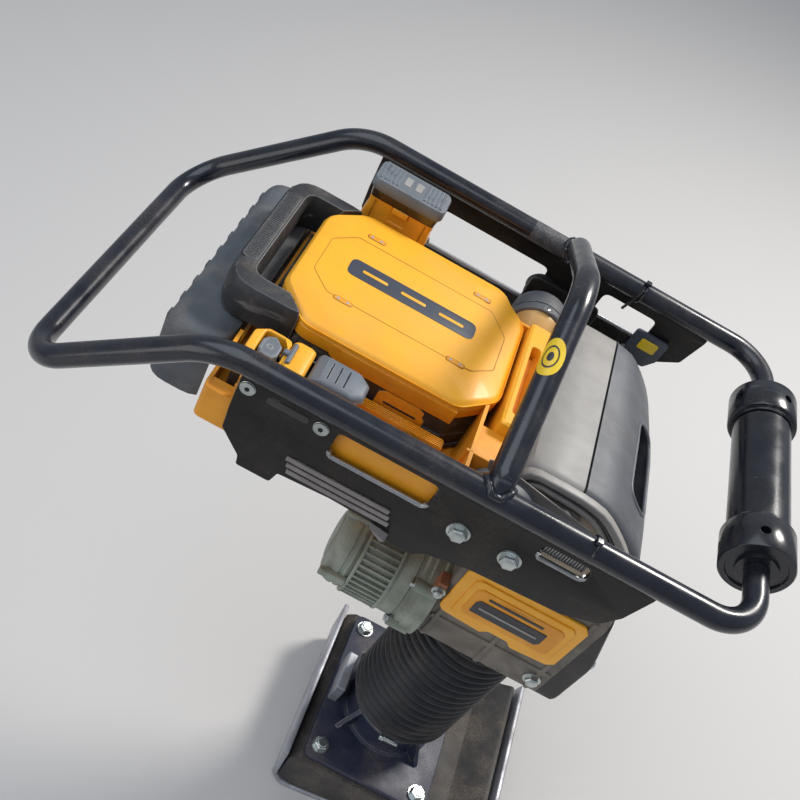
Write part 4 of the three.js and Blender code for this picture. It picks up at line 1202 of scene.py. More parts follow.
bezelOutline = roundOutline([(16, -170), (24, -178), (50, -178), (58, -170), (58, -160), (54, -155), (54, -146),
    (46, -134), (28, -134), (16, -144)], 5)
bezelHole = rectangle(26, 52, -172, -138, 5)
controlBody = loft("controlBody", [ringAt(rectangle(15, 101, -185, -123, 6), -98.4),
    ringAt(rectangle(15, 101, -185, -123, 6), -50), ringAt(rectangle(18, 98, -182, -126, 8), -44)], "caseBlack")
carve(controlBody, block("leverRoom", 70, 112, -170.5, -127.5, -58, -20, 0, "caseBlack"),
    block("keyRoom", 25.8, 52.2, -172.2, -137.8, -60, -20, 0, "caseBlack"))
softenEdges(controlBody, 1.0, 2, 45)
bezel = slab("controlBezel", [bezelOutline, bezelHole], -46, -24.5, "top", 2.2, "yellowCover", 3)
bridge = loft("controlBridge", [ringAt(rectangle(55, 79, -177, -131, 7), -50),
    ringAt(rectangle(55, 79, -177, -131, 7), -26), ringAt(rectangle(57, 77, -175, -133, 6), -23.4),
    ringAt(rectangle(59, 75, -173, -135, 5), -22.4)], "yellowCover", 50)
carve(bridge, block("bridgeRoom", 70, 90, -169.6, -128.4, -60, -31, 0, "yellowCover"))
smoothByAngle(bridge, 40)
settle(joinInto("controlHousing", [controlBody, bezel, bridge]), "machine", "yellow_paint", "control_block")

keyOutline = roundOutline([(27.5, -164), (31, -170), (44, -170), (48, -164), (48, -150), (38.5, -140.5), (31, -144),
    (27.5, -150)], 3)
keyRings = [[(p[0], p[1], -40) for p in keyOutline], [(p[0], p[1], -26.4) for p in keyOutline]]
centre = sum(keyOutline, Vector((0, 0))) / len(keyOutline)
keyRings.append([(centre.x + (p[0] - centre.x) * 0.94, centre.y + (p[1] - centre.y) * 0.94,
    -25.0) for p in keyOutline])
keyRings.append([(centre.x + (p[0] - centre.x) * 0.8, centre.y + (p[1] - centre.y) * 0.8, -24.6) for p in keyOutline])
keyRings.append([(centre.x + (p[0] - centre.x) * 0.72, centre.y + (p[1] - centre.y) * 0.72,
    -25.3) for p in keyOutline])
keyParts = [loft("keyCap", keyRings, "lockGrey", 30)]
keyParts.append(turned("keyMark", [(2.6, -25.5), (3.4, -25.5), (3.4, -24.9), (2.6, -24.9)], "z",
    (centre.x, centre.y, 0), 20, "hoodGrey"))
settle(joinInto("powerKeyCap", keyParts), "power_key", "grey_plastic", "power_button")
toggle = [block("toggleStem", 50, 60, -158, -151, -36, -21, 1.8, "lockGrey"),
    block("toggleHead", 56, 61, -169, -140, -30, -19.4, 2.0, "lockGrey")]
settle(joinInto("controlToggle", toggle), "machine", "grey_plastic")


paddlePiece = {"dip": 0.07, "rise": 0.22, "pinX": 91, "pinZ": -35, "clear": 11.4}


def paddleBody():
    # a rounded rectangular paddle that narrows and dips at its free end
    rings = []
    for z, inset in ((-43, 4), (-41.5, 1.5), (-36, 0.3), (-30, 0), (-25.5, 0.6), (-23.2, 2.4), (-22.0, 5)):
        # the rear end is round about the pin, so that it clears the bridge when it lifts
        reach = math.sqrt(max(0, paddlePiece["clear"] ** 2 - (z - paddlePiece["pinZ"]) ** 2))
        rear = max(82 + inset, paddlePiece["pinX"] - reach + inset * 0.3)
        outline = roundOutline([(rear, -169 + inset), (128 - inset, -169 + inset, 6), (140 - inset, -160 + inset, 6),
            (140 - inset, -138 - inset, 6), (128 - inset, -129 - inset, 6), (rear, -129 - inset)], 3, 4)
        if z > paddlePiece["pinZ"]:
            rings.append([(p[0], p[1], z - max(0, p[0] - 120) * paddlePiece["dip"]) for p in outline])
        else:
            rings.append([(p[0], p[1], z + max(0, p[0] - 100) * paddlePiece["rise"]) for p in outline])
    body = loft("paddleBody", rings, "lockGrey", 40)
    return smoothByAngle(body, 40)


# painted shade: three black strips on the paddle's top stand in for the shade in its grooves
paddle = [slab("paddleGrooveShade", [rectangle(x, x + 1.5, -161, -137, 0.7)], -22.6, -21.9, "top", 0.1,
    "paintedShadeBlack") for x in (98, 107, 116)]
paddle += [paddleBody(), slab("paddleSkirt", [rectangle(84, 124, -167.5, -130.5, 4)], -44, -34, "top", 1.0,
    "caseBlack")]
settle(joinInto("latchPaddle", paddle), "latch", "grey_plastic", "latch_lever")

# lock lever on the far side

lockCap = loft("lockCap", [ringAt(rectangle(39, 125, 119, 158, 9), 3), ringAt(rectangle(37, 127, 117, 160, 10), 6),
    ringAt(rectangle(37, 127, 117, 160, 10), 15.5), ringAt(rectangle(38.4, 125.6, 118.4, 158.6, 9), 18.2),
    ringAt(rectangle(41, 123, 121, 156, 8), 19.2)], "lockGrey", 40)
ribs = []
for x0, count in ((44, 5), (99, 5)):
    rib = grow("capRibs", "repeats", "capGrey", Count=count, Size=(0.003, 0.034, 0.0026), Step=(0.0051, 0, 0),
        at=(x0 / 1000, 0.1385, 0.019))
    ribs.append(rib)
for x in (74, 88):
    ribs.append(block("capPlate", x - 4, x + 4, 130, 147, 18.8, 19.9, 0.5, "hoodGrey"))
band = loft("lockBand", [ringAt(rectangle(41, 123, 120.5, 153, 7), -8), ringAt(rectangle(39.5, 124.5, 119, 155.5, 8),
    4)], "bandSmoke", 40)
lockBody = loft("lockBody", [ringAt(rectangle(40, 124, 121, 151, 7), -46),
    ringAt(rectangle(40, 124, 120.5, 151.5, 7), -34), ringAt(rectangle(42, 122, 123, 151, 7), -22),
    ringAt(rectangle(41, 123, 121, 152, 7), -7)], "yellowTray", 30)
notch = block("lockNotch", 70, 94, 112, 123, -30, -6, 3, "yellowTray")
carve(lockBody, notch)
smoothByAngle(lockBody, 35)
lockLines = [tube("lockLine", bentPath([(50, 120.4, -10, 1), (50, 120.6, -40, 6), (114, 120.6, -40, 6),
    (114, 120.4, -10, 1)], False, 4), 0.6, False, 6, "coverShade"), block("lockTab", 72, 92, 119, 123, -16, -8, 1.2,
    "yellowTray"), block("lockBar", 58, 106, 119.6, 121.4, -37.5, -34.5, 0.4, "labelBlack")]
lockFoot = slab("lockFoot", [roundOutline([(53, -42), (111, -42), (111, -60), (104, -66), (60, -66), (53, -60)], 4)],
    129.2, 144.8, "side", 1.2, "caseBlack")
settle(joinInto("lockLeverPiece", [lockCap, band, lockBody, lockFoot] + ribs + lockLines), "lock", "yellow_paint",
    "lock_lever")

stand = slab("lockStand", [[Vector(p) for p in ((40, -98.4), (124, -98.4), (124, -50.8), (116, -50.8), (116, -73),
    (112, -76), (52, -76), (48, -73), (48, -50.8), (40, -50.8))]], 128, 146, "side", 1.2, "caseBlack")
settle(stand, "machine", "dark_plastic", "lock_stand")
pins = [turned("latchPin", [(0, -176), (2.4, -176), (3, -175.2), (3, -122.8), (2.4, -122), (0, -122)], "y",
    (91, 0, -35), 20, "zinc"), turned("lockPin", [(0, 41), (3.4, 41), (4, 41.8), (4, 122.2), (3.4, 123), (0, 123)],
    "x", (0, 137, -58), 24, "zinc")]
settle(joinInto("hingePins", pins), "machine", "zinc", "latch_pin", "lock_pin")

bootRings = [(0, -98.4), (20, -98.4), (20, -90), (18.6, -88.5), (18.6, -86), (20, -84.5), (20, -82), (17, -79),
    (15, -77), (15, -73), (12, -69), (7, -67), (0, -67)]
boot = turned("cableBootBody", bootRings, "z", (204, -140, 0), 48, "caseBlack", angle=50)
settle(joinInto("cableBootPiece", [boot]), "machine", "rubber", "cable_boot")
print("stage: controls")


# rear shroud

shroudRings = []
for inset, z in ((0, -149.6), (0, -92), (1.5, -80), (5, -72), (11, -67.4), (16, -66)):
    shroudRings.append(ringAt(rectangle(-72 + inset, -3, -150 + inset, 150 - inset, 26), z))
shroud = loft("shroudShell", shroudRings, "shroudGrey", 40)
shroudRoom = loft("shroudRoom", [ringAt(rectangle(-67, 30, -145, 145, 22), -170),
    ringAt(rectangle(-67, 30, -145, 145, 22), -78)], "shroudGrey")
carve(shroud, shroudRoom)
smoothByAngle(shroud, 40)
shroudRibs = grow("shroudRibs", "repeats", "shroudGrey", Count=9, Size=(0.003, 0.01, 0.03), Step=(0, 0.03, 0),
    at=(-0.0715, -0.12, -0.098))
shroudLip = block("shroudLip", -12, -0.4, -112, 112, -103, -84, 1.5, "caseBlack")
settle(joinInto("rearShroudShell", [shroud, shroudRibs, shroudLip]), "machine", "grey_plastic", "rear_shroud")

# front hood, fascia and filter dome

cowlPiece = {"y": (-140, 118), "bulge": ((-140, 1.12), (-89, 1.11), (-44, 1.08), (4, 1.05), (53, 0.99), (104, 0.89),
    (118, 0.83))}


def cowlShape(inset, x0, x1):
    # the side view of the cowl, pulled in by inset, between two stations
    top = [(304, -36), (305.5, -28), (308.5, -20), (314, -13.4), (324, -10), (345, -9.6), (372, -10), (387, -12),
        (400, -15), (411, -20.5), (422, -28), (433, -36.5), (444, -46), (452, -54), (458.5, -63), (463, -73),
        (466, -85), (467.5, -99), (468, -114)]
    centre = Vector((385, -120))
    inner = [Vector(p) - (Vector(p) - centre).normalized() * inset for p in top]
    kept = [p for p in inner if x0 - 1e-6 <= p.x <= x1 + 1e-6]

    def heightAt(x):
        for a, b in zip(inner, inner[1:]):
            if a.x <= x <= b.x:
                return a.y + (b.y - a.y) * (x - a.x) / max(b.x - a.x, 1e-6)
        return inner[-1].y
    if x0 > 320:
        kept = [Vector((x0, heightAt(x0)))] + kept
    if x1 < 440:
        kept = kept + [Vector((x1, heightAt(x1)))]
    return kept


def bulge(y):
    # how far the front swells forward across the machine
    table = cowlPiece["bulge"]
    for (ya, a), (yb, b) in zip(table, table[1:]):
        if y <= yb:
            return a + (b - a) * max(0, (y - ya) / (yb - ya))
    return table[-1][1]


def cowlShell(name, x0, x1, bottom, material, extra=0):
    rings = []
    y0, y1 = cowlPiece["y"]
    stations = [(y0, 9), (y0 + 1.2, 5), (y0 + 3.6, 2), (y0 + 8, 0)]
    stations += [(y, 0) for y in range(int(y0) + 24, int(y1) - 16, 16)]
    stations += [(y1 - 12, 0.4), (y1 - 7, 2), (y1 - 3, 5), (y1, 10)]
    for y, inset in stations:
        line = cowlShape(inset + extra, x0, x1)
        if x0 > 320:
            line = [Vector((374 + (p.x - 374) * bulge(y), p.y)) for p in line]
        line = [line[0].copy()] + line + [line[-1].copy()]
        line[0].y = bottom[0]
        line[-1].y = bottom[1]
        rings.append([(p.x, y, p.y) for p in reversed(line)])
    return loft(name, rings, material, 28)


hood = cowlShell("hoodShell", 304, 371.6, (-112, -112), "hoodGrey")
hoodRoom = cowlShell("hoodRoom", 304, 371.6, (-112, -112), "hoodGrey")
hoodRoom.data.transform(Matrix.Translation((0.0045, 0, -0.0055)) @ Matrix.Diagonal((1.0, 0.955, 1.0, 1.0)))
domeRoom = turned("domeRoom", [(0, 66), (36.5, 66), (36.5, 152), (0, 152)], "y", (283, 0, -47), 48, "hoodGrey")
carve(hood, hoodRoom, domeRoom)
smoothByAngle(hood, 30)
# the bright arched rims on the near side of the hood

def archRim(name, inset, width, y0, y1, material, edge=1.6):
    outer = cowlShape(inset, 0, 600)
    inner = cowlShape(inset + width, 0, 600)
    outline = [Vector((outer[0].x, -106))] + outer + [Vector((outer[-1].x, -122)), Vector((inner[-1].x - 1, -122))]
    outline += list(reversed(inner)) + [Vector((inner[0].x, -106))]
    return slab(name, [outline], y0, y1, "side", edge, material)


archParts = [archRim("archOuter", 0.5, 9, -150, -139, "hoodGrey", 2.4), archRim("archMiddle", 11.5, 3.0, -146, -139,
    "fasciaGrey", 1.2), archRim("archInner", 16, 6, -148.5, -139, "hoodGrey", 2.2)]
recess = cowlShape(20, 0, 600)
archParts.append(slab("archPanel", [[Vector((recess[0].x, -119))] + recess + [Vector((recess[-1].x, -119))]], -142.5,
    -138.5, "side", 0.5, "plateTan"))
archParts.append(slab("archEdge", [[Vector(p) for p in ((272, -14), (280, -10), (396, -34), (402, -50), (392, -60),
    (380, -48), (276, -26))]], -160, -158.4, "side", 0.6, "plateGrey"))
settle(joinInto("frontHoodShell", [hood] + archParts), "machine", "light_grey", "front_hood")

fascia = cowlShell("fasciaShell", 374.4, 470, (-126.4, -126.4), "fasciaGrey")
fasciaRoom = cowlShell("fasciaRoom", 374.4, 470, (-140, -140), "fasciaGrey", 5)
fasciaRoom.data.transform(Matrix.Translation((-0.002, 0, 0)) @ Matrix.Diagonal((1.0, 0.955, 1.0, 1.0)))
ventPiece = {"at": (443, -26.5, -46), "halfLong": 61.5, "halfTall": 21.5, "round": 20, "turn": (0.735, 0.678)}
ventOut = Vector((ventPiece["turn"][1], 0, ventPiece["turn"][0]))
ventUp = Vector((-ventPiece["turn"][0], 0, ventPiece["turn"][1]))


def ventPoint(a, b, depth):
    return Vector(ventPiece["at"]) + Vector((0, 1, 0)) * a + ventUp * b + ventOut * depth


def fasciaDepth(a, b):
    # how far above the vent's own plane the swollen front lies
    line = cowlShape(0, 374.4, 470)
    for step in range(160):
        depth = 20 - step * 0.25
        point = ventPoint(a, b, depth)
        x = 374 + (point.x - 374) / bulge(point.y)
        for p, q in zip(line, line[1:]):
            if p.x <= x <= q.x and point.z <= p.y + (q.y - p.y) * (x - p.x) / max(q.x - p.x, 1e-6):
                return depth
    return 0.0


def ventRing(scale, drop, onSurface=True):
    outline = denser([Vector(p) for p in rectangle(-ventPiece["halfLong"] * scale, ventPiece["halfLong"] * scale,
        -ventPiece["halfTall"] * scale, ventPiece["halfTall"] * scale, ventPiece["round"] * scale)], 6)
    return outline, [ventPoint(p.x, p.y, (fasciaDepth(p.x, p.y) if onSurface else 0) + drop) for p in outline]


ventOutline, ventCutLow = ventRing(1.0, -34, False)
ventCut = loft("ventCut", [ventCutLow, [ventPoint(p.x, p.y, 34) for p in ventOutline]], "paintedShadeBlack")
carve(fascia, fasciaRoom, ventCut)
smoothByAngle(fascia, 30)
ventLine = [ventPoint(p.x, p.y, fasciaDepth(p.x, p.y) - 0.4) for p in ventOutline]
ventRim = tube("ventRim", ventLine, 2.3, True, 12, "fasciaGrey")
ventWall = loft("ventWall", [[ventPoint(p.x * k, p.y * k, fasciaDepth(p.x, p.y) + d) for p in ventOutline] for k,
    d in ((0.985, -1.5), (0.96, -20), (1.0, -20), (1.01, -2.5), (0.985, -1.5))], "labelBlack", 40, False, False)
# painted shade: a black sheet behind the vent stands in for the shade inside it
ventShadeBack = loft("ventShadeBack", [[ventPoint(p.x * 1.02, p.y * 1.05, d) for p in ventOutline] for d in (-22, -20)],
    "paintedShadeBlack")
fins = grow("ventFins", "repeats", "labelBlack", Count=11, Size=(0.0016, 0.042, 0.009), Step=(0.0112, 0, 0))
fins.data.transform(Matrix.Translation(Vector(ventPiece["at"]) / 1000) @ Matrix(((0, -ventPiece["turn"][0],
    ventPiece["turn"][1]), (1, 0, 0),
    (0, ventPiece["turn"][1], ventPiece["turn"][0]))).to_4x4() @ Matrix.Translation((-0.056, 0, -0.016)))
# painted shade: a black strip in the gap between hood and fascia stands in for the shade in the seam
seamShade = slab("cowlSeamShade", [cowlShape(2.6, 370, 376) + [Vector((376, -110)), Vector((370, -110))]], -136, 114, "side",
    0.3, "paintedShadeBlack")
settle(joinInto("hoodFasciaShell", [fascia, ventRim, ventWall, ventShadeBack, fins, seamShade]), "machine", "fascia_grey",
    "hood_fascia")

hoodBolt = fixings("hoodBolts", [(366, -146, -50)], "nearSide", head=8, height=7, washer=15, washerHeight=2)
bracket = slab("hoodBracket", [roundOutline([(326, -70), (372, -70), (392, -52), (384, -36), (332, -36)], 5)], -146,
    -142.4, "side", 0.8, "castTaupe")
drum = [turned("drumBody", [(0, -152.5), (41, -152.5), (43, -155), (43, -160), (42.2, -161), (42.2, -163), (43, -164),
    (43, -174), (40, -178.4), (34, -180.4), (26, -181), (24, -180), (0, -180)], "y", (303, 0, -64), 72, "shroudGrey"),
    turned("drumHub", [(0, -179.5), (9, -179.5), (10, -181), (8, -182.4), (0, -182.4)], "y", (303, 0, -64), 32,
    "fasciaGrey")]
settle(joinInto("sideDrum", drum), "machine", "grey_plastic")
settle(joinInto("hoodFixing", [hoodBolt, bracket]), "machine", "zinc")

domeProfile = [(0, 74.5), (19, 74.5), (22, 78), (29, 94), (30, 96), (30, 98), (33, 98.5), (34.5, 100), (34.5, 108),
    (33, 109.5), (33.8, 111), (34.5, 113), (34.5, 124), (32.5, 134), (27, 142), (18, 147.5), (8, 149.8), (0, 150)]
domeParts = [turned("domeCone", domeProfile[:6] + [(0, 98)], "y", (283, 0, -47), 64, "coneTan", angle=40),
    turned("domeBand", [(0, 97.6)] + domeProfile[6:9] + [(30, 109.5), (0, 109.5)], "y", (283, 0, -47), 64,
    "fasciaGrey"), turned("domeCap", [(0, 109.2)] + domeProfile[10:], "y", (283, 0, -47), 64, "shroudGrey", angle=40)]
domeScrew = turned("domeScrew", [(0, 30.5), (4, 30.5), (4, 33.6), (2.5, 34.6), (0, 34.6)], "z", (283, 103, -47), 16,
    "zinc")
domeClip = block("domeClip", 276, 290, 97, 109, -16, -12.5, 1.5, "fasciaGrey")
domeBase = block("domeBase", 256, 310, 96, 138, -98, -47, 4, "shroudGrey")
settle(joinInto("filterDome", domeParts + [domeScrew, domeClip, domeBase]), "machine", "grey_plastic", "fan_cover")
print("stage: hood and fascia")


# mounting yoke

yoke = [block("yokeBeam", 262, 352, -190, 190, -127.4, -113.2, 2, "platePaint")]
for sign in (-1, 1):
    low, high = min(sign * 183.2, sign * 190), max(sign * 183.2, sign * 190)
    yoke.append(slab("yokeEar", [roundOutline([(260, -127), (353, -127), (353, -36), (260, -36)], 9)], low, high,
        "side", 1.2, "platePaint"))
    for x in boltPiece["x"]:
        yoke.append(loft("yokeGusset", [[(x - 3, sign * 184, -114), (x + 3, sign * 184, -114),
            (x + 3, sign * 140, -114), (x - 3, sign * 140, -114)], [(x - 3, sign * 184, -60),
            (x + 3, sign * 184, -60), (x + 3, sign * 181, -60), (x - 3, sign * 181, -60)]], "platePaint"))
settle(joinInto("mountYokeFrame", yoke), "machine", "black_steel", "mount_yoke")
mountParts = []
for sign in (-1, 1):
    for x in boltPiece["x"]:
        profile = [(0, 190.4), (17, 190.4), (19, 192), (18.2, 195), (16.6, 200), (18.2, 205), (19, 208.4), (17, 210),
            (0, 210)]
        if sign < 0:
            profile = [(r, -d) for r, d in reversed(profile)]
        mountParts.append(turned("shockMount", profile, "y", (x, 0, boltPiece["z"]), 40, "rubber"))
settle(joinInto("shockMounts", mountParts), "machine", "rubber", "shock_mount_1", "shock_mount_2", "shock_mount_3",
    "shock_mount_4")


# crank case, badge and motor

def caseRing(x, top, scale=1.0):
    return [(x, p.x * scale, -256.5 + (p.y + 256.5) * scale) for p in rectangle(-118, 118, -385, top, 22)]


crankcase = loft("crankcaseShell", [caseRing(338, -128, 0.965), caseRing(340, -128, 0.985), caseRing(344, -128),
    caseRing(478, -128), caseRing(483, -133), caseRing(515, -190)], "castTaupe", 30)
neck = turned("crankcaseNeck", [(62, -416), (68, -416), (69.6, -414.4), (69.6, -398), (78, -386), (78, -380),
    (62, -380)], "z", (440, 0, 0), 64, "castTaupe")
crankcaseParts = [crankcase, neck]
for y in (-118.6, 118.6):
    for x in (352, 428, 500):
        crankcaseParts.append(block("caseRib", x - 3, x + 3, y - 2.4, y + 2.4, -372, -200, 1.5, "castTaupe"))
    crankcaseParts.append(block("caseWaist", 345, 512, y - 1.8, y + 1.8, -333, -325, 1.5, "castTaupe"))
caseTop = block("caseTopPad", 352, 474, -96, 96, -130, -125.2, 3, "castTaupe")
crankcaseParts.append(caseTop)
caseBolts = fixings("caseBolts", [(x, y, -384.6) for x in (356, 500) for y in (-96, 96)], "down", "zinc", 7, 5,
    washer=10)
crankcaseParts.append(caseBolts)
settle(joinInto("crankcaseCasting", crankcaseParts), "machine", "cast_taupe", "crankcase_body")

frontCover = loft("coverPlate", [caseRing(515.3, -193), caseRing(518.5, -194), caseRing(538, -260),
    caseRing(541, -271, 0.985)], "blockBlack", 30)
frontRib = loft("coverDome", [[(x, p.x * s, -324 + (p.y + 324) * s) for p in rectangle(-84, 84, -366, -282,
    20)] for x, s in ((539, 1.0), (546, 1.0), (550, 0.97), (552, 0.9))], "blockBlack", 40)
frontFins = grow("coverFins", "repeats", "blockBlack", Count=10, Size=(0.005, 0.005, 0.06), Step=(0, 0.015, 0),
    at=(0.5515, -0.0675, -0.324))
frontBolts = fixings("coverBolts", [(540.8, y, z) for y in (-102, 102) for z in (-368, -290)], "front", "zinc", 6.5,
    5, washer=9)
settle(joinInto("crankcaseFront", [frontCover, frontRib, frontFins, frontBolts]), "machine", "cast_taupe",
    "crankcase_cover")

badgeOuter = roundOutline([(344, -300), (350, -308), (404, -312), (412, -304), (438, -304), (446, -312), (494, -308),
    (502, -300), (502, -222), (494, -212), (352, -212), (344, -222)], 4)
badgeInner = roundOutline([(358, -296), (364, -300), (484, -298), (490, -292), (490, -230), (484, -223), (364, -223),
    (358, -230)], 3)
badgeParts = [slab("badgeBase", [badgeOuter], -122.4, -118.3, "side", 1.2, "yellowCover"),
    slab("badgeStep", [badgeInner], -124.8, -121.5, "side", 1.0, "yellowCover"),
    slab("badgeStepTwo", [roundOutline([(370, -288), (478, -288), (482, -282), (482, -240), (476, -234), (372, -234),
    (366, -240), (366, -282)], 3)], -126.2, -124.2, "side", 0.8, "yellowTray"),
    slab("badgeWindow", [roundOutline([(374, -278), (462, -278), (466, -272), (466, -252), (378, -252), (374, -258)],
    2)], -127.2, -125.8, "side", 0.5, "labelBlack"), slab("badgeBar", [rectangle(384, 456, -246, -242, 0.5)], -127,
    -125.8, "side", 0.2, "labelBlack")]
badgeParts.append(slab("badgeMark", [rectangle(381, 458, -266.6, -263.4, 0.4)], -127.9, -127, "side", 0.15,
    "hoodGrey"))
settle(joinInto("sideBadge", badgeParts), "machine", "yellow_paint", "badge_panel")
plug = fixings("oilPlugHead", [(498, -118.4, -350)], "nearSide", "zinc", 9, 6.5, washer=12, washerHeight=2)
settle(plug, "machine", "zinc", "oil_plug")

motorPiece = {"y": -75, "z": -335}


def onMotor(item):
    item.data.transform(Matrix.Translation((0, motorPiece["y"] / 1000, motorPiece["z"] / 1000)))
    return item


bandProfile = [(44.2, 234.2), (53, 234.2), (54, 235.5), (54, 281), (57, 283), (57, 303), (55, 305), (55, 309),
    (60, 312), (60, 318), (62.5, 320.5), (62.5, 331), (66, 333), (66, 337.4), (20, 337.4), (20, 330), (44.2, 326)]
motorBody = onMotor(turned("motorBody", bandProfile, "x", (0, 0, 0), 72, "castAlloy", angle=30))
axialFins = grow("axialFins", "repeats", "castAlloy", Count=44, Size=(0.044, 0.003, 0.007),
    Offset=(0.2575, 0, 0.0555), Step_Turn=(2 * math.pi / 44, 0, 0))
onMotor(axialFins)
finRings = [onMotor(turned("finRing", [(53, x), (59.4, x), (60, x + 1), (60, x + 3), (59.4, x + 4), (53, x + 4)], "x",
    (0, 0, 0), 72, "castAlloy")) for x in (233.8, 279.5)]
motorLugs = []
for turn in (0.8, 2.2, 3.9, 5.4):
    lug = turned("motorLug", [(0, 306), (8, 306), (8, 334), (0, 334)], "x", (0, 0, 0), 20, "castAlloy")
    lug.data.transform(Matrix.Rotation(turn, 4, "X") @ Matrix.Translation((0, 0, 0.061)))
    motorLugs.append(onMotor(lug))
    cap = grow("lugBolt", "fixings", "zinc", [(305.5, 0, 0)], Head_Radius=0.0052, Head_Height=0.004, Sides=6,
        Washer_Radius=0.007, Washer_Height=0.001, Crown=0.6, Turn=(0, -math.pi / 2, 0))
    cap.data.transform(Matrix.Rotation(turn, 4, "X") @ Matrix.Translation((0, 0, 0.061)))
    motorLugs.append(onMotor(cap))
footBox = block("motorFoot", 262, 300, -96, -52, -402, -386, 3, "bootGrey")
settle(joinInto("motorBodyPiece", [motorBody, axialFins, footBox] + finRings + motorLugs), "machine", "cast_alloy",
    "motor_housing")
capProfile = [(0, 198), (24, 198), (30, 199), (32, 200.5), (42, 201.5), (49, 205), (54, 211), (56, 217), (56, 221),
    (54.6, 222), (54.6, 224.5), (56, 225.5), (56, 229), (53, 233.6), (0, 233.6)]
capBody = onMotor(turned("motorCapBody", capProfile, "x", (0, 0, 0), 72, "castAlloy", angle=30))
capLug = block("motorCapLug", 197, 232, -84, -66, -286, -276, 3, "castAlloy")
capStrip = block("motorCapStrip", 199, 234, -137, -129, -341, -329, 2, "castAlloy")
settle(joinInto("motorEndCap", [capBody, capLug, capStrip]), "machine", "cast_alloy", "motor_cap")

# the clamp beside the motor flange
clampParts = [slab("flangeClamp", [roundOutline([(326, -262), (338, -262), (338, -312), (326, -312)], 2)], -124, -104,
    "side", 1.2, "rustOrange"), fixings("flangeNut", [(332, -124.2, -276)], "nearSide", "zinc", 6.5, 6, washer=9)]
settle(joinInto("flangeClampPiece", clampParts), "machine", "cast_taupe")
print("stage: power unit")


# leg, bellows and shoe

pleatPiece = {"top": -403.5, "bottom": -715.5, "count": 17, "low": 74.6, "high": 85.6, "x": 440}


def bellowsSkin():
    top, bottom, count = pleatPiece["top"], pleatPiece["bottom"], pleatPiece["count"]
    collarHeight = 13
    pitch = (top - bottom - 2 * collarHeight) / count
    profile = [(71.2, bottom), (75.4, bottom), (75.4, bottom + collarHeight - 2)]
    for index in range(count):
        z = bottom + collarHeight + index * pitch
        for step in range(8):
            t = step / 8
            swell = 0.5 - 0.5 * math.cos(2 * math.pi * t)
            profile.append((pleatPiece["low"] + (pleatPiece["high"] - pleatPiece["low"]) * swell ** 0.7,
                z + pitch * t))
    profile += [(75.4, top - collarHeight + 2), (75.4, top), (71.2, top)]
    inner = [(71.4, top - 8), (71.4, bottom + 8)]
    return turned("bellowsSkin", profile + inner, "z", (pleatPiece["x"], 0, 0), 72, "rubber", angle=60)


bellowsPiece = bellowsSkin()
bellowsPiece.data.transform(placeDrawing)
bellowsPiece.data.update()
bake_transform(bellowsPiece)
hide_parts("bellows")


def bandClamp(name, z, body, node):
    band = turned(name + "Band", [(75.7, z - 5), (77.4, z - 5), (77.8, z - 4), (77.8, z + 4), (77.4, z + 5),
        (75.7, z + 5)], "z", (440, 0, 0), 72, "zinc")
    lock = block(name + "Lock", 432, 450, -84, -76.5, z - 6, z + 6, 1.5, "zinc")
    screw = turned(name + "Screw", [(0, 426), (4.4, 426), (5, 427), (5, 433), (3, 433), (3, 456), (0, 456)], "x",
        (0, -82, z), 20, "zinc")
    return settle(joinInto(name, [band, lock, screw]), body, "zinc", node)


bandClamp("bellowsClampTop", -409, "machine", "bellows_clamp_upper")
bandClamp("bellowsClampFoot", -710, "foot", "bellows_clamp_lower")

flangePlate = slab("flangePlate", [rectangle(337, 543, -132, 132, 14)], -777, -765, "top", 1.6, "flangeBlue")
flangeBoss = turned("flangeBoss", [(57.6, -712), (68.4, -712), (69.6, -713.2), (69.6, -756), (74, -763), (82, -766),
    (82, -770), (57.6, -770)], "z", (440, 0, 0), 64, "flangeBlue")
flangeRibs = []
for turn in (45, 135, 225, 315):
    rib = loft("flangeRib", [[(64, -3.5, -766), (100, -3.5, -766), (100, 3.5, -766), (64, 3.5, -766)],
        [(64, -3.5, -724), (72, -3.5, -724), (72, 3.5, -724), (64, 3.5, -724)]], "flangeBlue")
    rib.data.transform(Matrix.Translation((0.44, 0, 0)) @ Matrix.Rotation(math.radians(turn), 4, "Z"))
    flangeRibs.append(rib)
upright = block("flangeUpright", 340, 356, -34, 34, -766, -722, 3, "shoeSteel")
settle(joinInto("footFlangePiece", [flangePlate, flangeBoss, upright] + flangeRibs), "foot", "blue_black",
    "foot_flange")
shoeBolts = fixings("shoeBoltHeads", [(440 + dx, dy, -764.9) for dx in (-83, 83) for dy in (-110, 110)], "up", "zinc",
    11.5, 9, washer=14, washerHeight=2.2, spin=0.4)
settle(shoeBolts, "foot", "zinc", "shoe_bolt_1", "shoe_bolt_2", "shoe_bolt_3", "shoe_bolt_4")


def wedge(u):
    return -u * math.tan(drawing["lean"]) + 82.4 / math.cos(drawing["lean"])


shoeOutline = roundOutline([(-84, 8.4), (157, 8.4), (182, 22), (202, 46), (212, 76), (150, 60), (118, wedge(118)),
    (-88, wedge(-88)), (-103, wedge(-88) - 10), (-111, 31), (-101, 14.5)], 6, 4)
shoeBlock = slab("shoeBlock", [shoeOutline], -139, 139, "side", 3.0, "blockBlack")
settle(joinInto("shoeCore", [shoeBlock]), "foot", "dark_plastic", "shoe_body", matrix=placeShoe)
soleOutline = roundOutline([(-88, 0, 12), (160, 0, 30), (190, 14, 20), (214, 42, 20), (226, 80, 3), (218, 82, 3),
    (206, 46, 20), (184, 21, 20), (158, 8.2, 26), (-86, 8.2, 8), (-102, 14, 8), (-112, 30, 8), (-104, 110, 3),
    (-112, 111, 3), (-120.5, 30, 12), (-108, 7, 12)], 6, 6)
sole = slab("soleplate", [soleOutline], -142, 142, "side", 2.2, "shoeSteel")
settle(sole, "foot", "pale_steel", "shoe_sole", matrix=placeShoe)
print("stage: leg and shoe")


# inner workings keep their CAD shape and take a finish

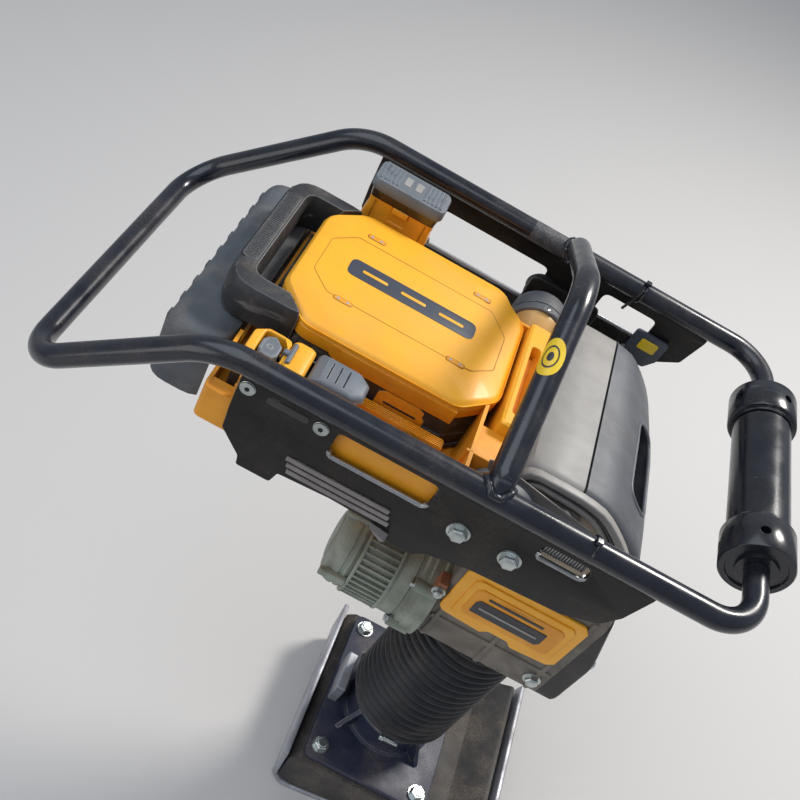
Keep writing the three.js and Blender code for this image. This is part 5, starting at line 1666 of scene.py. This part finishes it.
for nodeName in ("crank_bearing", "crank_gear", "connecting_rod", "motor_stator", "motor_rotor", "guide_tube",
        "piston",
                 "spring_tube", "tube_ring", "upper_spring", "lower_spring"):
    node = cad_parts[nodeName]
    node.data.materials.clear()
    node.data.materials.append(finish["copper" if nodeName == "motor_stator" else "bareSteel"])


# floor, light and camera

floorMesh = bpy.data.meshes.new("floorPlane")
floorMesh.from_pydata([(-24, -24, 0), (24, -24, 0), (24, 24, 0), (-24, 24, 0)], [], [(0, 1, 2, 3)])
floor = bpy.data.objects.new("floorPlane", floorMesh)
scene.collection.objects.link(floor)
floorMaterial = bpy.data.materials.new("floorPale")
floorMaterial.use_nodes = True
floorShader = floorMaterial.node_tree.nodes["Principled BSDF"]
floorShader.inputs["Base Color"].default_value = (0.62, 0.60, 0.58, 1)
floorShader.inputs["Roughness"].default_value = 0.85
floorMesh.materials.append(floorMaterial)

world = bpy.data.worlds.new("softSky")
scene.world = world
world.use_nodes = True
world.node_tree.nodes["Background"].inputs["Color"].default_value = (0.80, 0.88, 1.0, 1)
world.node_tree.nodes["Background"].inputs["Strength"].default_value = 0.38


def areaLight(name, place, target, size, power, color):
    data = bpy.data.lights.new(name, "AREA")
    data.shape = "RECTANGLE"
    data.size, data.size_y = size
    data.energy = power
    data.color = color
    lamp = bpy.data.objects.new(name, data)
    scene.collection.objects.link(lamp)
    lamp.location = place
    lamp.rotation_euler = (Vector(target) - Vector(place)).to_track_quat("-Z", "Y").to_euler()
    return lamp


areaLight("keyLight", (1.9, 1.7, 3.0), (0, 0, 0.75), (0.8, 0.8), 105, (1.0, 0.97, 0.92))
areaLight("skyPanel", (-0.8, -0.6, 3.4), (0, 0, 0.6), (3.0, 2.4), 42, (0.84, 0.91, 1.0))
areaLight("sideFill", (-2.4, -2.4, 1.4), (0, 0, 0.6), (2.0, 2.0), 20, (1.0, 0.98, 0.96))

viewPiece = {"place": (0.0974, -0.8371, 0.6462), "right": (0.8744, 0.2842, 0.3932),
    "down": (0.4792, -0.6323, -0.6087), "forward": (0.0756, 0.7207, -0.6891), "sensor": 36.0, "focal": 44.97}
turnView = Matrix((viewPiece["right"], tuple((-v for v in viewPiece["down"])),
    tuple((-v for v in viewPiece["forward"])))).transposed()
cameraData = bpy.data.cameras.new("viewCamera")
cameraData.sensor_width = viewPiece["sensor"]
cameraData.lens = viewPiece["focal"]
camera = bpy.data.objects.new("viewCamera", cameraData)
scene.collection.objects.link(camera)
camera.matrix_world = placeDrawing @ Matrix.Translation(viewPiece["place"]) @ turnView.to_4x4()
scene.camera = camera
scene.view_settings.view_transform = "Standard"
scene.view_settings.look = "Medium Contrast"

print("stage: scene ready")
